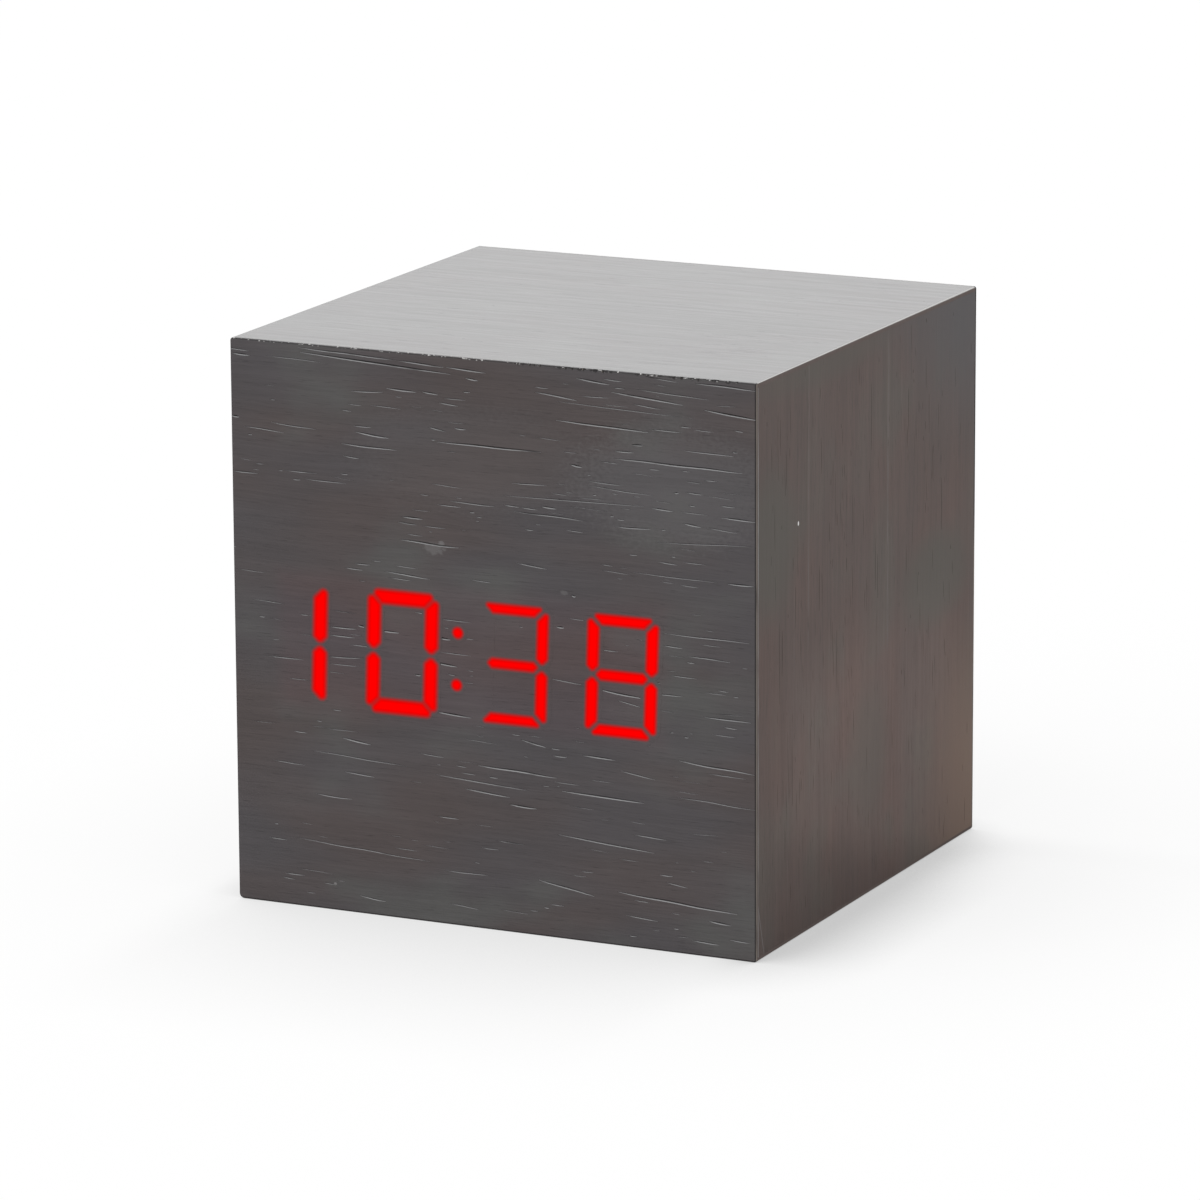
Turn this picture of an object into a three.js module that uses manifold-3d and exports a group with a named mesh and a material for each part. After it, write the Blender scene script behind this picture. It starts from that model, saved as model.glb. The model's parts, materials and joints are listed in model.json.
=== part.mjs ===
// Cube alarm clock with a red segment display behind a wood skin.
// Millimetres. X runs to the right, Y to the back and Z up; the origin is the middle of the base.
import * as THREE from "three";
import { mergeVertices } from "three/addons/utils/BufferGeometryUtils.js";
import { RoundedBoxGeometry } from "three/addons/geometries/RoundedBoxGeometry.js";
import Module from "manifold-3d";

// Casing
const caseWidth = 62.5;
const caseDepth = 60.5;
const caseHeight = 63;
const edgeRadius = 0.25;
const skinThickness = 0.5;
const wallThickness = 3.5;
const frontWallThickness = 3;
const cavityCornerRadius = 2;
const bossSize = 7.5;

// Fits shared by all pieces
const glueFilm = 0.05;
const clearance = 0.3;
const overrun = 1;

// Display, read from the front of the case
const strokeWidth = 1.5;
const strokeGap = 0.2;
const strokeEase = 0.45;
const digitHeight = 12.15;
const digitLeanDegrees = 2;
const digitSpacing = 6.55;
const leadingLineInset = 10.55;
const lastLineInset = 12.2;
const linePlaceShares = [0, 0.34, 0.674, 1];
const colonReach = 3.15;
const colonSpacing = 5.8;
const colonDotDiameter = 1.2;
const displayCentreHeight = 29.85;
const housingDepth = 7;
const noseMargin = 2;
const noseCornerRadius = 1;
const flangeMargin = 1.2;
const flangeThickness = 1.5;
const landDepth = 0.8;
const poolDepth = 1.2;
const poolMargin = 0.6;
const wellTaperShare = 0.72;
const earWidth = 7;
const earReach = 5;
const pegDiameter = 1.6;
const boardThickness = 1.6;
const ledWidth = 1;
const ledLength = 0.6;
const ledHeight = 0.5;

// Rear cover and battery bay
const coverRecess = 0.8;
const coverThickness = 2.2;
const cellCount = 3;
const cellSpacing = 0.5;
const cellNubDiameter = 3.8;
const cellNubLength = 1;
const cellDepth = 0.5;
const bayFoot = 4.15;
const bayHeadroom = 2.7;
const bayWall = 1.2;
const bayRibDrop = 3;
const plateThickness = 0.4;
const springLength = 3;
const springWire = 0.5;
const springBaseDiameter = 6.4;
const springTipDiameter = 3.6;
const springTurns = 2.5;
const doorThickness = 1.8;
const doorLedge = 0.6;
const doorSurround = 2.075;
const doorCornerRadius = 1.2;
const hookWidth = 6;
const hookSpacing = 24;
const hookThickness = 1.2;
const hookReach = 1.5;
const latchWidth = 10;
const latchHeight = 6;
const latchSlot = 0.6;
const latchNose = 0.15;
const gripCount = 3;
const gripWidth = 6;
const gripHeight = 0.5;
const gripRise = 0.3;
const thumbRadius = 5;
const thumbDepth = 1;
const tabWidth = 6;
const tabSpacing = 30;
const tabReach = 1.5;
const tabThickness = 1.2;

// Buttons, switches and power socket
const controlRowDrop = 5.65;
const rowGapShares = [0.08, 0.47, 0.18, 0.18, 0.09];
const buttonDiameter = 4.6;
const buttonCrown = 0.25;
const buttonStand = 0.5;
const buttonTravel = 0.5;
const buttonFlangeDiameter = 6.4;
const buttonFlangeThickness = 0.6;
const buttonPostDiameter = 3;
const buttonPostLength = 0.6;
const plungerDiameter = 3.4;
const plungerStand = 0.9;
const plungerRoot = 0.8;
const switchSize = 6;
const switchHeight = 3.4;
const switchCorner = 0.5;
const socketWidth = 7.5;
const socketHeight = 2.7;
const socketBevel = 0.9;
const socketWall = 0.35;
const tongueWidth = 3.7;
const tongueThickness = 0.65;
const tongueSetback = 1;
const micPlaceShare = 0.39;
const micDrop = 6.2;
const micDiameter = 4;
const micLength = 2.2;
const soundHoleDiameter = 1.2;
const buttonBoardThickness = 1.2;
const buttonBoardSideGap = 0.5;
const buttonBoardDrop = 8.8;
const postDiameter = 4.6;
const boardPostShares = [-0.234, 0.13];
const boardPostDrop = 6.4;

// Control board and what stands on it
const controlSideGap = 5.2;
const controlFoot = 2.65;
const controlRise = 3.5;
const controlThickness = 1.2;
const controlGap = 3;
const controlPostInset = 3;
const chipWidth = 10;
const chipLength = 7.5;
const chipHeight = 1.8;
const legCount = 5;
const legWidth = 0.4;
const legReach = 1.2;
const legThickness = 0.25;
const crystalLength = 8;
const crystalWidth = 3.4;
const crystalHeight = 3;
const crystalRim = 0.5;
const buzzerDiameter = 9;
const buzzerHeight = 5.4;
const capacitorDiameter = 5;
const capacitorHeight = 8;
const capacitorNeck = 0.4;
const coinDiameter = 16;
const coinHeight = 3.2;
const coinStep = 0.8;
const holderWall = 1.3;
const holderFloor = 0.8;
const clipWidth = 4;
const clipThickness = 0.35;
const plugWidth = 12;
const plugHeight = 3;
const plugLength = 2.5;
const ribbonWidth = 9;
const ribbonThickness = 0.7;
const linkWidth = 6;
const wireDiameter = 1;

// Screws
const screwHeadDiameter = 3.8;
const screwHeadHeight = 1.3;
const screwShankDiameter = 2;
const screwLength = 8;
const shortScrewLength = 4.6;
const displayScrewLength = 3.6;
const screwPoint = 0.8;
const pilotBore = screwShankDiameter + clearance;
const crossWidth = 0.5;
const crossLength = 2;
const crossDepth = 0.7;

// Facets of round forms
const roundSides = 20;
const smallSides = 10;
const wireSides = 5;
const easeSteps = 2;
const strokeEaseSteps = 1;
const easeLimitShare = 0.45;
const quarterTurn = Math.PI / 2;

// Stations along Y and Z that several pieces meet at
const frontFace = -caseDepth / 2;
const shellSetback = skinThickness + glueFilm;
const shellFront = frontFace + shellSetback;
const shellRear = caseDepth / 2 - shellSetback;
const shellWidth = caseWidth - 2 * shellSetback;
const shellHeight = caseHeight - 2 * shellSetback;
const middleHeight = caseHeight / 2;
const cavityWidth = shellWidth - 2 * wallThickness;
const cavityHeight = shellHeight - 2 * wallThickness;
const cavityFront = shellFront + frontWallThickness;
const cavityBottom = shellSetback + wallThickness;
const cavityTop = caseHeight - cavityBottom;
const coverOuter = caseDepth / 2 - coverRecess;
const coverInner = coverOuter - coverThickness;
const coverWidth = cavityWidth - 2 * clearance;
const coverBottom = cavityBottom + clearance;
const coverTop = cavityTop - clearance;
const doorInner = coverOuter - doorThickness;
const controlRowHeight = coverTop - controlRowDrop;
const micHeight = controlRowHeight - micDrop;
const boardPostHeight = controlRowHeight - boardPostDrop;
const buttonBoardBottom = controlRowHeight - buttonBoardDrop;
const bayBottom = coverBottom + bayFoot;
const bayTop = buttonBoardBottom - bayHeadroom;
const bayHalf = coverWidth / 2 - doorSurround - doorLedge;
const cellRise = (bayTop - bayBottom) / cellCount;
const cellDiameter = cellRise - cellSpacing;
const cellLength = 2 * (bayHalf - glueFilm - plateThickness) - springLength - glueFilm;
const cellRadius = cellDiameter / 2;
const cellCentre = doorInner - cellDepth - cellRadius;
const bayRadius = cellRadius + clearance;
const bayFloorOuter = cellCentre - bayRadius - bayWall;
const doorWidth = 2 * (bayHalf + doorLedge);
const doorBottom = bayBottom - doorLedge;
const doorTop = bayTop + doorLedge;
const lowestCellHeight = bayBottom + cellRise / 2;
const cellHeights = Array.from({ length: cellCount }, (_, place) => lowestCellHeight + place * cellRise);
const buttonBack = coverInner - clearance - buttonFlangeThickness - buttonPostLength;
const switchTop = buttonBack - glueFilm - plungerStand;
const buttonBoardRear = switchTop - switchHeight - glueFilm;
const buttonBoardFront = buttonBoardRear - buttonBoardThickness;
const buttonBoardTop = coverTop - clearance;
const controlRear = bayFloorOuter - controlGap;
const controlFront = controlRear - controlThickness;
const controlWidth = cavityWidth - 2 * controlSideGap;
const controlBottom = coverBottom + controlFoot;
const controlTop = bayTop + controlRise;
const controlHeight = controlTop - controlBottom;
const controlMiddle = (controlTop + controlBottom) / 2;
const bossInner = cavityWidth / 2 - bossSize;
const buttonBoardWidth = 2 * (bossInner - buttonBoardSideGap);
const coverScrewX = cavityWidth / 2 - bossSize / 2;
const coverScrewZ = cavityTop - bossSize / 2;
const leadingLine = leadingLineInset - caseWidth / 2;
const lastLine = caseWidth / 2 - lastLineInset;
const digitLines = linePlaceShares.map((share) => leadingLine + share * (lastLine - leadingLine));
const digitSpan = digitLines[1] - digitLines[0] - digitSpacing;
const noseLeft = leadingLine - strokeWidth / 2 - noseMargin;
const noseRight = lastLine + strokeWidth / 2 + noseMargin;
const noseWidth = noseRight - noseLeft;
const noseMiddle = (noseLeft + noseRight) / 2;
const noseHeight = digitHeight + strokeWidth + 2 * noseMargin;
const flangeHeight = noseHeight + 2 * flangeMargin;
const displayBoardRear = housingDepth + glueFilm + boardThickness;
const leanShare = Math.tan(THREE.MathUtils.degToRad(digitLeanDegrees));

// Digits from left to right: the line of the right-hand upright, the strokes of the digit and those lit
const digits = [
  { name: "hour_tens", line: digitLines[0], strokes: "bc", lit: "bc" },
  { name: "hour_units", line: digitLines[1], strokes: "abcdefg", lit: "abcdef" },
  { name: "minute_tens", line: digitLines[2], strokes: "abcdefg", lit: "abcdg" },
  { name: "minute_units", line: digitLines[3], strokes: "abcdefg", lit: "abcdefg" },
];
const colonX = digitLines[1] + colonReach;

// Places on the control board, as shares of its width and height from its middle
const chipPlaceShares = [-0.25, 0.08];
const coinPlaceShares = [0.22, -0.15];
const buzzerPlaceShares = [-0.2, -0.3];
const crystalPlaceShares = [-0.08, 0.37];
const capacitorPlaceShares = [-0.33, 0.38];
const plugPlaceShares = [0.25, 0.38];
const driverPlaceShare = -0.22;

const buttonNames = ["set", "up", "down"];

// Finishes
function finish(color, roughness, metalness = 0) {
  return new THREE.MeshStandardMaterial({ color, roughness, metalness });
}
const darkWood = finish(0x524e4c, 0.45);
const fibreboard = finish(0x8a6a4a, 0.9);
const whitePlastic = finish(0xe8e8e4, 0.5);
const litResin = finish(0xff0000, 0.4);
const blackPlastic = finish(0x1b1b1c, 0.55);
const greyPlastic = finish(0x3a3a3c, 0.5);
const greenBoard = finish(0x1f5a33, 0.5);
const steel = finish(0xb8bcc0, 0.3, 1);
const brightMetal = finish(0xd0d0cc, 0.25, 1);
const cellSleeve = finish(0x2f5f8a, 0.35);
const redWire = finish(0xb01818, 0.5);
const blackWire = finish(0x202020, 0.5);
const greyCable = finish(0x9a9a9a, 0.6);

const wasm = await Module();
wasm.setup();

// Solids: a closed geometry becomes a solid that can be joined and cut
function solid(geometry) {
  const bare = geometry.index ? geometry.toNonIndexed() : geometry.clone();
  bare.deleteAttribute("normal");
  bare.deleteAttribute("uv");
  const merged = mergeVertices(bare);
  const mesh = new wasm.Mesh({
    numProp: 3,
    vertProperties: merged.attributes.position.array,
    triVerts: new Uint32Array(merged.index.array),
  });
  return new wasm.Manifold(mesh);
}

function join(...pieces) {
  return pieces.reduce((whole, piece) => whole.add(piece));
}

function cut(body, ...tools) {
  return tools.reduce((rest, tool) => rest.subtract(tool), body);
}

function geometryOf(piece) {
  const mesh = piece.getMesh();
  const geometry = new THREE.BufferGeometry();
  geometry.setAttribute("position", new THREE.BufferAttribute(mesh.vertProperties, mesh.numProp));
  geometry.setIndex(new THREE.BufferAttribute(mesh.triVerts, 1));
  const faceted = geometry.toNonIndexed();
  faceted.computeVertexNormals();
  return faceted;
}

// Outlines in X and Z, anticlockwise as seen from the front
function rectangle(width, height, x = 0, z = 0) {
  const corners = [[-1, -1], [1, -1], [1, 1], [-1, 1]];
  return corners.map(([side, end]) => new THREE.Vector2(x + (side * width) / 2, z + (end * height) / 2));
}

function circle(diameter, x = 0, z = 0, sides = smallSides) {
  return Array.from({ length: sides }, (_, side) => {
    const angle = (2 * Math.PI * side) / sides;
    return new THREE.Vector2(x + (diameter / 2) * Math.cos(angle), z + (diameter / 2) * Math.sin(angle));
  });
}

// Rounds each corner of a convex outline by an arc
function eased(outline, radius, steps = easeSteps) {
  return outline.flatMap((corner, index) => {
    const before = outline.at(index - 1).clone().sub(corner);
    const after = outline[(index + 1) % outline.length].clone().sub(corner);
    const shorter = Math.min(before.length(), after.length());
    before.normalize();
    after.normalize();
    const half = Math.acos(before.dot(after)) / 2;
    const reach = Math.min(radius / Math.tan(half), easeLimitShare * shorter);
    const start = corner.clone().addScaledVector(before, reach);
    const centre = corner.clone().addScaledVector(before.add(after).normalize(), reach / Math.cos(half));
    const bend = Math.PI - 2 * half;
    return Array.from({ length: steps + 1 }, (_, step) =>
      start.clone().rotateAround(centre, (bend * step) / steps),
    );
  });
}

// A plate with its outline in X and Z, from y = front back to y = rear
function plate(outline, front, rear) {
  const shape = new THREE.Shape(outline);
  const geometry = new THREE.ExtrudeGeometry(shape, { depth: rear - front, bevelEnabled: false });
  return solid(geometry.rotateX(quarterTurn).translate(0, rear, 0));
}

// A strip with its outline in Y and Z, from x = left to x = right
function strip(outline, left, right) {
  const shape = new THREE.Shape(outline);
  const geometry = new THREE.ExtrudeGeometry(shape, { depth: right - left, bevelEnabled: false });
  return solid(geometry.rotateZ(quarterTurn).rotateY(quarterTurn).translate(left, 0, 0));
}

// A box between two corners
function block(left, right, front, rear, bottom, top) {
  const geometry = new THREE.BoxGeometry(right - left, rear - front, top - bottom);
  return solid(geometry.translate((left + right) / 2, (front + rear) / 2, (bottom + top) / 2));
}

// A round rod or hole along Y
function rod(diameter, x, z, front, rear, sides = smallSides) {
  return plate(circle(diameter, x, z, sides), front, rear);
}

// A round rod or hole along X
function crossRod(radius, y, z, left, right, sides = roundSides) {
  const geometry = new THREE.CylinderGeometry(radius, radius, right - left, sides);
  return solid(geometry.rotateZ(quarterTurn).translate((left + right) / 2, y, z));
}

// A turned piece about Y; the profile holds [radius, y] pairs from the lower end up
function turned(profile, sides = smallSides) {
  return solid(new THREE.LatheGeometry(profile.map(([radius, y]) => new THREE.Vector2(radius, y)), sides));
}

// A closed solid through rings, each an outline of as many points at its own y
function loft(rings) {
  const count = rings[0].outline.length;
  const last = count * (rings.length - 1);
  const positions = rings.flatMap(({ outline, y }) => outline.flatMap((p) => [p.x, y, p.y]));
  const index = THREE.ShapeUtils.triangulateShape(rings[0].outline, []).flatMap(([a, b, c]) => [
    ...[a, b, c],
    ...[last + a, last + c, last + b],
  ]);
  for (let start = 0; start < last; start += count) {
    for (let place = 0; place < count; place += 1) {
      const near = start + place;
      const next = start + ((place + 1) % count);
      index.push(near, near + count, next);
      index.push(next, near + count, next + count);
    }
  }
  const geometry = new THREE.BufferGeometry();
  geometry.setAttribute("position", new THREE.Float32BufferAttribute(positions, 3));
  geometry.setIndex(index);
  return solid(geometry);
}

// Strokes of a digit about its middle; grow widens a stroke on every side
function strokeCorners(stroke, grow) {
  const half = strokeWidth / 2 + grow;
  const notch = (strokeGap / 2 - grow) * Math.SQRT2;
  const side = digitSpan / 2;
  const rise = digitHeight / 2;
  const bar = [
    [half + notch - side, rise - half],
    [side - half - notch, rise - half],
    [side + half - notch, rise + half],
    [notch - side - half, rise + half],
  ];
  const upright = [
    [side - half, half + notch],
    [side, notch],
    [side + half, half + notch],
    [side + half, rise + half - notch],
    [side - half, rise - half - notch],
  ];
  const middle = [
    [notch - side, 0],
    [half + notch - side, -half],
    [side - half - notch, -half],
    [side - notch, 0],
    [side - half - notch, half],
    [half + notch - side, half],
  ];
  const mirrored = (corners, across, up) => corners.map(([x, z]) => [x * across, z * up]);
  const corners = {
    a: bar,
    b: upright,
    c: mirrored(upright, 1, -1).reverse(),
    d: mirrored(bar, 1, -1).reverse(),
    e: mirrored(upright, -1, -1),
    f: mirrored(upright, -1, 1).reverse(),
    g: middle,
  };
  return corners[stroke].map(([x, z]) => new THREE.Vector2(x, z));
}

function strokeOutline(stroke, line, grow = 0) {
  const outline = eased(strokeCorners(stroke, grow), strokeEase, strokeEaseSteps);
  return outline.map((p) => new THREE.Vector2(p.x + p.y * leanShare + line - digitSpan / 2, p.y));
}

function colonOutlines(grow = 0) {
  return [1, -1].map((side) => {
    const z = (side * colonSpacing) / 2;
    return circle(colonDotDiameter + 2 * grow, colonX + z * leanShare, z);
  });
}

function digitOutlines(digit, strokes, grow = 0) {
  return [...strokes].map((stroke) => strokeOutline(stroke, digit.line, grow));
}

// The lit outlines, and all outlines, of the display
function litOutlines(grow) {
  return [...digits.flatMap((digit) => digitOutlines(digit, digit.lit, grow)), ...colonOutlines(grow)];
}

function allOutlines(grow) {
  return [...digits.flatMap((digit) => digitOutlines(digit, digit.strokes, grow)), ...colonOutlines(grow)];
}

function centreOf(outline) {
  const sum = outline.reduce((total, p) => total.add(p), new THREE.Vector2());
  return sum.divideScalar(outline.length);
}

function tapered(outline, share) {
  const centre = centreOf(outline);
  return outline.map((p) => centre.clone().lerp(p, share));
}

// A well: a straight mouth of the stroke's shape, then a taper back to the light source
function well(outline, front) {
  return loft([
    { outline, y: front },
    { outline, y: landDepth },
    { outline: tapered(outline, wellTaperShare), y: housingDepth - poolDepth / 2 },
  ]);
}

// The hollow that the resin fills behind one digit's wells, or behind the colon's
function poolOutline(outlines, grow = 0) {
  const xs = outlines.flat().map((p) => p.x);
  const zs = outlines.flat().map((p) => p.y);
  const left = Math.min(...xs) - poolMargin - grow;
  const right = Math.max(...xs) + poolMargin + grow;
  const reach = Math.max(...zs) + poolMargin + grow;
  return rectangle(right - left, 2 * reach, (left + right) / 2, 0);
}

// Light sources stand on the board at the middle of each stroke
function lightSource(outline, grow = 0) {
  const centre = centreOf(outline);
  const width = ledWidth + 2 * grow;
  const length = ledLength + 2 * grow;
  const rear = housingDepth + glueFilm;
  return plate(rectangle(width, length, centre.x, centre.y), rear - ledHeight - grow, rear + grow);
}

// Resin cast in the wells of one digit, standing through the skin where the stroke is lit
function resin(outlines, lit) {
  const skinFront = frontFace - shellFront;
  const pool = plate(poolOutline(outlines), housingDepth - poolDepth, housingDepth);
  const fills = outlines.map((outline, place) => well(outline, lit[place] ? skinFront : 0));
  const pockets = outlines.map((outline) => lightSource(outline, glueFilm));
  return cut(join(pool, ...fills), ...pockets);
}

// Display housing with its wells, pools, flange, ears and pegs
const earHeights = [1, -1].map((side) => side * (flangeHeight / 2 + earReach / 2));

function displayHousing() {
  const nose = plate(eased(rectangle(noseWidth, noseHeight, noseMiddle), noseCornerRadius), 0, housingDepth);
  const flangeFront = frontWallThickness + glueFilm;
  const flangeRear = flangeFront + flangeThickness;
  const flangeOutline = rectangle(noseWidth + 2 * flangeMargin, flangeHeight, noseMiddle);
  const flange = plate(eased(flangeOutline, noseCornerRadius), flangeFront, flangeRear);
  const ears = earHeights.map((z) => {
    const reach = earReach + overrun;
    const centre = z - (Math.sign(z) * overrun) / 2;
    const outline = eased(rectangle(earWidth, reach, noseMiddle, centre), noseCornerRadius);
    return plate(outline, flangeFront, flangeRear);
  });
  const holes = earHeights.map((z) =>
    rod(screwShankDiameter + clearance, noseMiddle, z, 0, housingDepth),
  );
  const pegs = pegPlaces().map(([x, z]) => rod(pegDiameter, x, z, housingDepth - overrun, displayBoardRear));
  const wells = allOutlines(glueFilm).map((outline) => well(outline, -overrun));
  const pools = poolGroups().map((outlines) => {
    const hollow = poolOutline(outlines, glueFilm);
    return plate(hollow, housingDepth - poolDepth - glueFilm, housingDepth + overrun);
  });
  return cut(join(cut(join(nose, flange, ...ears), ...wells, ...pools), ...pegs), ...holes);
}

function poolGroups() {
  return [...digits.map((digit) => digitOutlines(digit, digit.strokes)), colonOutlines()];
}

// Pegs stand between the pools, level with the digits' top and bottom strokes
function pegPlaces() {
  const z = digitHeight / 2;
  return [digits[0], digits[2]].flatMap(({ line }) => [
    [line + colonReach, z],
    [line + colonReach, -z],
  ]);
}

// Display board with its light sources and the socket of its flat cable
function displayBoard() {
  const front = housingDepth + glueFilm;
  const outline = eased(rectangle(noseWidth, noseHeight, noseMiddle), noseCornerRadius);
  const board = plate(outline, front, displayBoardRear);
  const bore = pegDiameter + clearance;
  const holes = pegPlaces().map(([x, z]) => rod(bore, x, z, 0, displayBoardRear + overrun));
  const sources = allOutlines(0).map((outline) => lightSource(outline));
  const plugOutline = rectangle(plugWidth, plugHeight, plugX());
  const plug = plate(plugOutline, displayBoardRear - glueFilm, displayBoardRear + plugLength);
  return join(cut(board, ...holes), ...sources, plug);
}

function plugX() {
  return plugPlaceShares[0] * controlWidth;
}

// Small-outline chip with its legs, on a board whose surface is at y = 0; it stands towards -Y
function chip(width, length, height) {
  const body = plate(eased(rectangle(width, length), legThickness), -height, -legThickness);
  const pitch = width / (legCount + 1);
  const middle = -height / 2;
  const end = length / 2 + legReach;
  const legs = Array.from({ length: legCount }, (_, place) => {
    const left = (place + 1) * pitch - width / 2 - legWidth / 2;
    const right = left + legWidth;
    return join(
      block(left, right, middle, middle + legThickness, -end, end),
      block(left, right, middle, 0, -end, legThickness - end),
      block(left, right, middle, 0, end - legThickness, end),
    );
  });
  return join(body, ...legs);
}

// Screw along Y with its head's top at y = 0 facing +Y, its shank running towards -Y
function screw(length, crossed = false) {
  const shank = screwShankDiameter / 2;
  const head = screwHeadDiameter / 2;
  const tip = -screwHeadHeight - length;
  const body = turned([
    [0, tip],
    [shank, tip + screwPoint],
    [shank, -screwHeadHeight],
    [head, -screwHeadHeight],
    [head, -screwHeadHeight / 2],
    [head - screwHeadHeight / 4, 0],
    [0, 0],
  ]);
  const arms = crossed ? [[crossLength, crossWidth], [crossWidth, crossLength]] : [];
  return cut(body, ...arms.map(([width, height]) => plate(rectangle(width, height), -crossDepth, overrun)));
}

// Casing shell, open at the back, with bosses for the cover screws
function caseShell() {
  const outer = plate(rectangle(shellWidth, shellHeight, 0, middleHeight), shellFront, shellRear);
  const hollowOutline = eased(rectangle(cavityWidth, cavityHeight, 0, middleHeight), cavityCornerRadius);
  const hollow = plate(hollowOutline, cavityFront, shellRear + overrun);
  const bosses = [1, -1].map((side) => {
    const size = bossSize + overrun;
    const x = side * (bossInner + size / 2);
    const z = cavityTop - bossSize + size / 2;
    return plate(rectangle(size, size, x, z), cavityFront - overrun, coverInner - glueFilm);
  });
  const pilots = [1, -1].map((side) =>
    rod(pilotBore, side * coverScrewX, coverScrewZ, pilotEnd(), shellRear),
  );
  const margin = 2 * glueFilm;
  const windowOutline = rectangle(noseWidth + margin, noseHeight + margin, noseMiddle, displayCentreHeight);
  const window = plate(eased(windowOutline, noseCornerRadius), shellFront - overrun, cavityFront + overrun);
  const displayPilots = earHeights.map((z) => {
    const front = cavityFront + flangeThickness - displayScrewLength;
    return rod(pilotBore, noseMiddle, displayCentreHeight + z, front, cavityFront + overrun);
  });
  const slots = tabPlaces().map((x) => tab(x, clearance));
  return cut(join(cut(outer, hollow), ...bosses), ...pilots, window, ...displayPilots, ...slots);
}

function pilotEnd() {
  return coverOuter - screwHeadHeight - screwLength - glueFilm;
}

// Tabs on the cover's lower edge, and with a margin the slots that take them
function tabPlaces() {
  return [-tabSpacing / 2, tabSpacing / 2];
}

function tab(x, margin = 0) {
  const half = tabWidth / 2 + margin;
  const low = coverBottom - tabReach - margin;
  const rear = coverInner + tabThickness + margin;
  return block(x - half, x + half, coverInner - margin, rear, low, coverBottom + coverThickness);
}

// Skins: sheets cut by the cube's rounded envelope
function envelope() {
  const geometry = new RoundedBoxGeometry(caseWidth, caseDepth, caseHeight, easeSteps, edgeRadius);
  return solid(geometry.translate(0, 0, middleHeight));
}

function sheet(left, right, front, rear, bottom, top) {
  return block(left, right, front, rear, bottom, top).intersect(envelope());
}

function frontSkin() {
  const half = caseWidth / 2;
  const skin = sheet(-half, half, frontFace, frontFace + skinThickness, 0, caseHeight);
  const windows = litOutlines(glueFilm).map((outline) => {
    const raised = outline.map((p) => new THREE.Vector2(p.x, p.y + displayCentreHeight));
    return plate(raised, frontFace - overrun, shellFront + overrun);
  });
  return cut(skin, ...windows);
}

function topSkin() {
  const half = caseWidth / 2;
  return sheet(-half, half, shellFront, shellRear, caseHeight - skinThickness, caseHeight);
}

function baseSkin() {
  const half = caseWidth / 2;
  return sheet(-half, half, shellFront, shellRear, 0, skinThickness);
}

function sideSkin(side) {
  const outer = (side * caseWidth) / 2;
  const inner = outer - side * skinThickness;
  const left = Math.min(outer, inner);
  const right = Math.max(outer, inner);
  return sheet(left, right, shellFront, shellRear, shellSetback, caseHeight - shellSetback);
}

function rearRimSkin() {
  const half = caseWidth / 2;
  const frame = sheet(-half, half, caseDepth / 2 - skinThickness, caseDepth / 2, 0, caseHeight);
  const opening = eased(rectangle(cavityWidth, cavityHeight, 0, middleHeight), cavityCornerRadius);
  return cut(frame, plate(opening, shellRear, caseDepth / 2 + overrun));
}

// Rear cover with the battery bay, posts for the boards, and holes for what stands through it
function rearCover() {
  const coverHeight = coverTop - coverBottom;
  const outline = rectangle(coverWidth, coverHeight, 0, middleHeight);
  const body = plate(eased(outline, cavityCornerRadius - clearance), coverInner, coverOuter);
  const tabs = tabPlaces().map((x) => tab(x));
  return cut(
    join(body, bayOuter(), ...tabs, ...boardPosts(), ...controlPosts()),
    ...bayHollow(),
    doorway(),
    thumbNotch(),
    ...hookSlots(),
    ...controlHoles(),
    ...coverScrewHoles(),
    ...contactSlots(),
    ...postPilots(),
  );
}

function bayOuter() {
  const half = bayHalf + bayWall;
  const box = block(-half, half, cellCentre, coverInner + overrun, bayBottom - bayWall, bayTop + bayWall);
  const troughs = cellHeights.map((z) => crossRod(bayRadius + bayWall, cellCentre, z, -half, half));
  return join(box, ...troughs);
}

function bayHollow() {
  const front = cellCentre - bayRibDrop;
  const box = block(-bayHalf, bayHalf, front, coverOuter + overrun, bayBottom, bayTop);
  return [box, ...cellHeights.map((z) => crossRod(bayRadius, cellCentre, z, -bayHalf, bayHalf))];
}

function doorOutline(margin = 0) {
  const height = doorTop - doorBottom;
  const middle = (doorTop + doorBottom) / 2;
  return eased(rectangle(doorWidth + 2 * margin, height + 2 * margin, 0, middle), doorCornerRadius);
}

function doorway() {
  return plate(doorOutline(clearance), doorInner - glueFilm, coverOuter + overrun);
}

// Half-moon recess above the door, for a finger tip on the latch
function thumbNotch() {
  return rod(2 * thumbRadius, 0, doorTop, coverOuter - thumbDepth, coverOuter + overrun, roundSides);
}

function hookPlaces() {
  return [-hookSpacing / 2, hookSpacing / 2];
}

// Slots in the bay's lower wall, wide enough for the hooks to swing out
function hookSlots() {
  const swing = Math.hypot(coverOuter - hookFront(), hookReach);
  return hookPlaces().map((x) => {
    const half = hookWidth / 2 + clearance;
    const low = doorBottom - hookReach - clearance;
    return block(x - half, x + half, coverOuter - swing - clearance, doorInner, low, bayBottom + clearance);
  });
}

function hookRear() {
  return coverInner - clearance;
}

function hookFront() {
  return hookRear() - hookThickness;
}

// Holes for the buttons, the power socket and the microphone
function controlHoles() {
  const front = coverInner - overrun;
  const rear = coverOuter + overrun;
  const bore = buttonDiameter + 2 * clearance;
  const buttons = buttonPlaces().map(([, x]) => rod(bore, x, controlRowHeight, front, rear, roundSides));
  const sound = rod(soundHoleDiameter, micX(), micHeight, front, rear);
  return [...buttons, plate(socketOutline(clearance), front, rear), sound];
}

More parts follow.
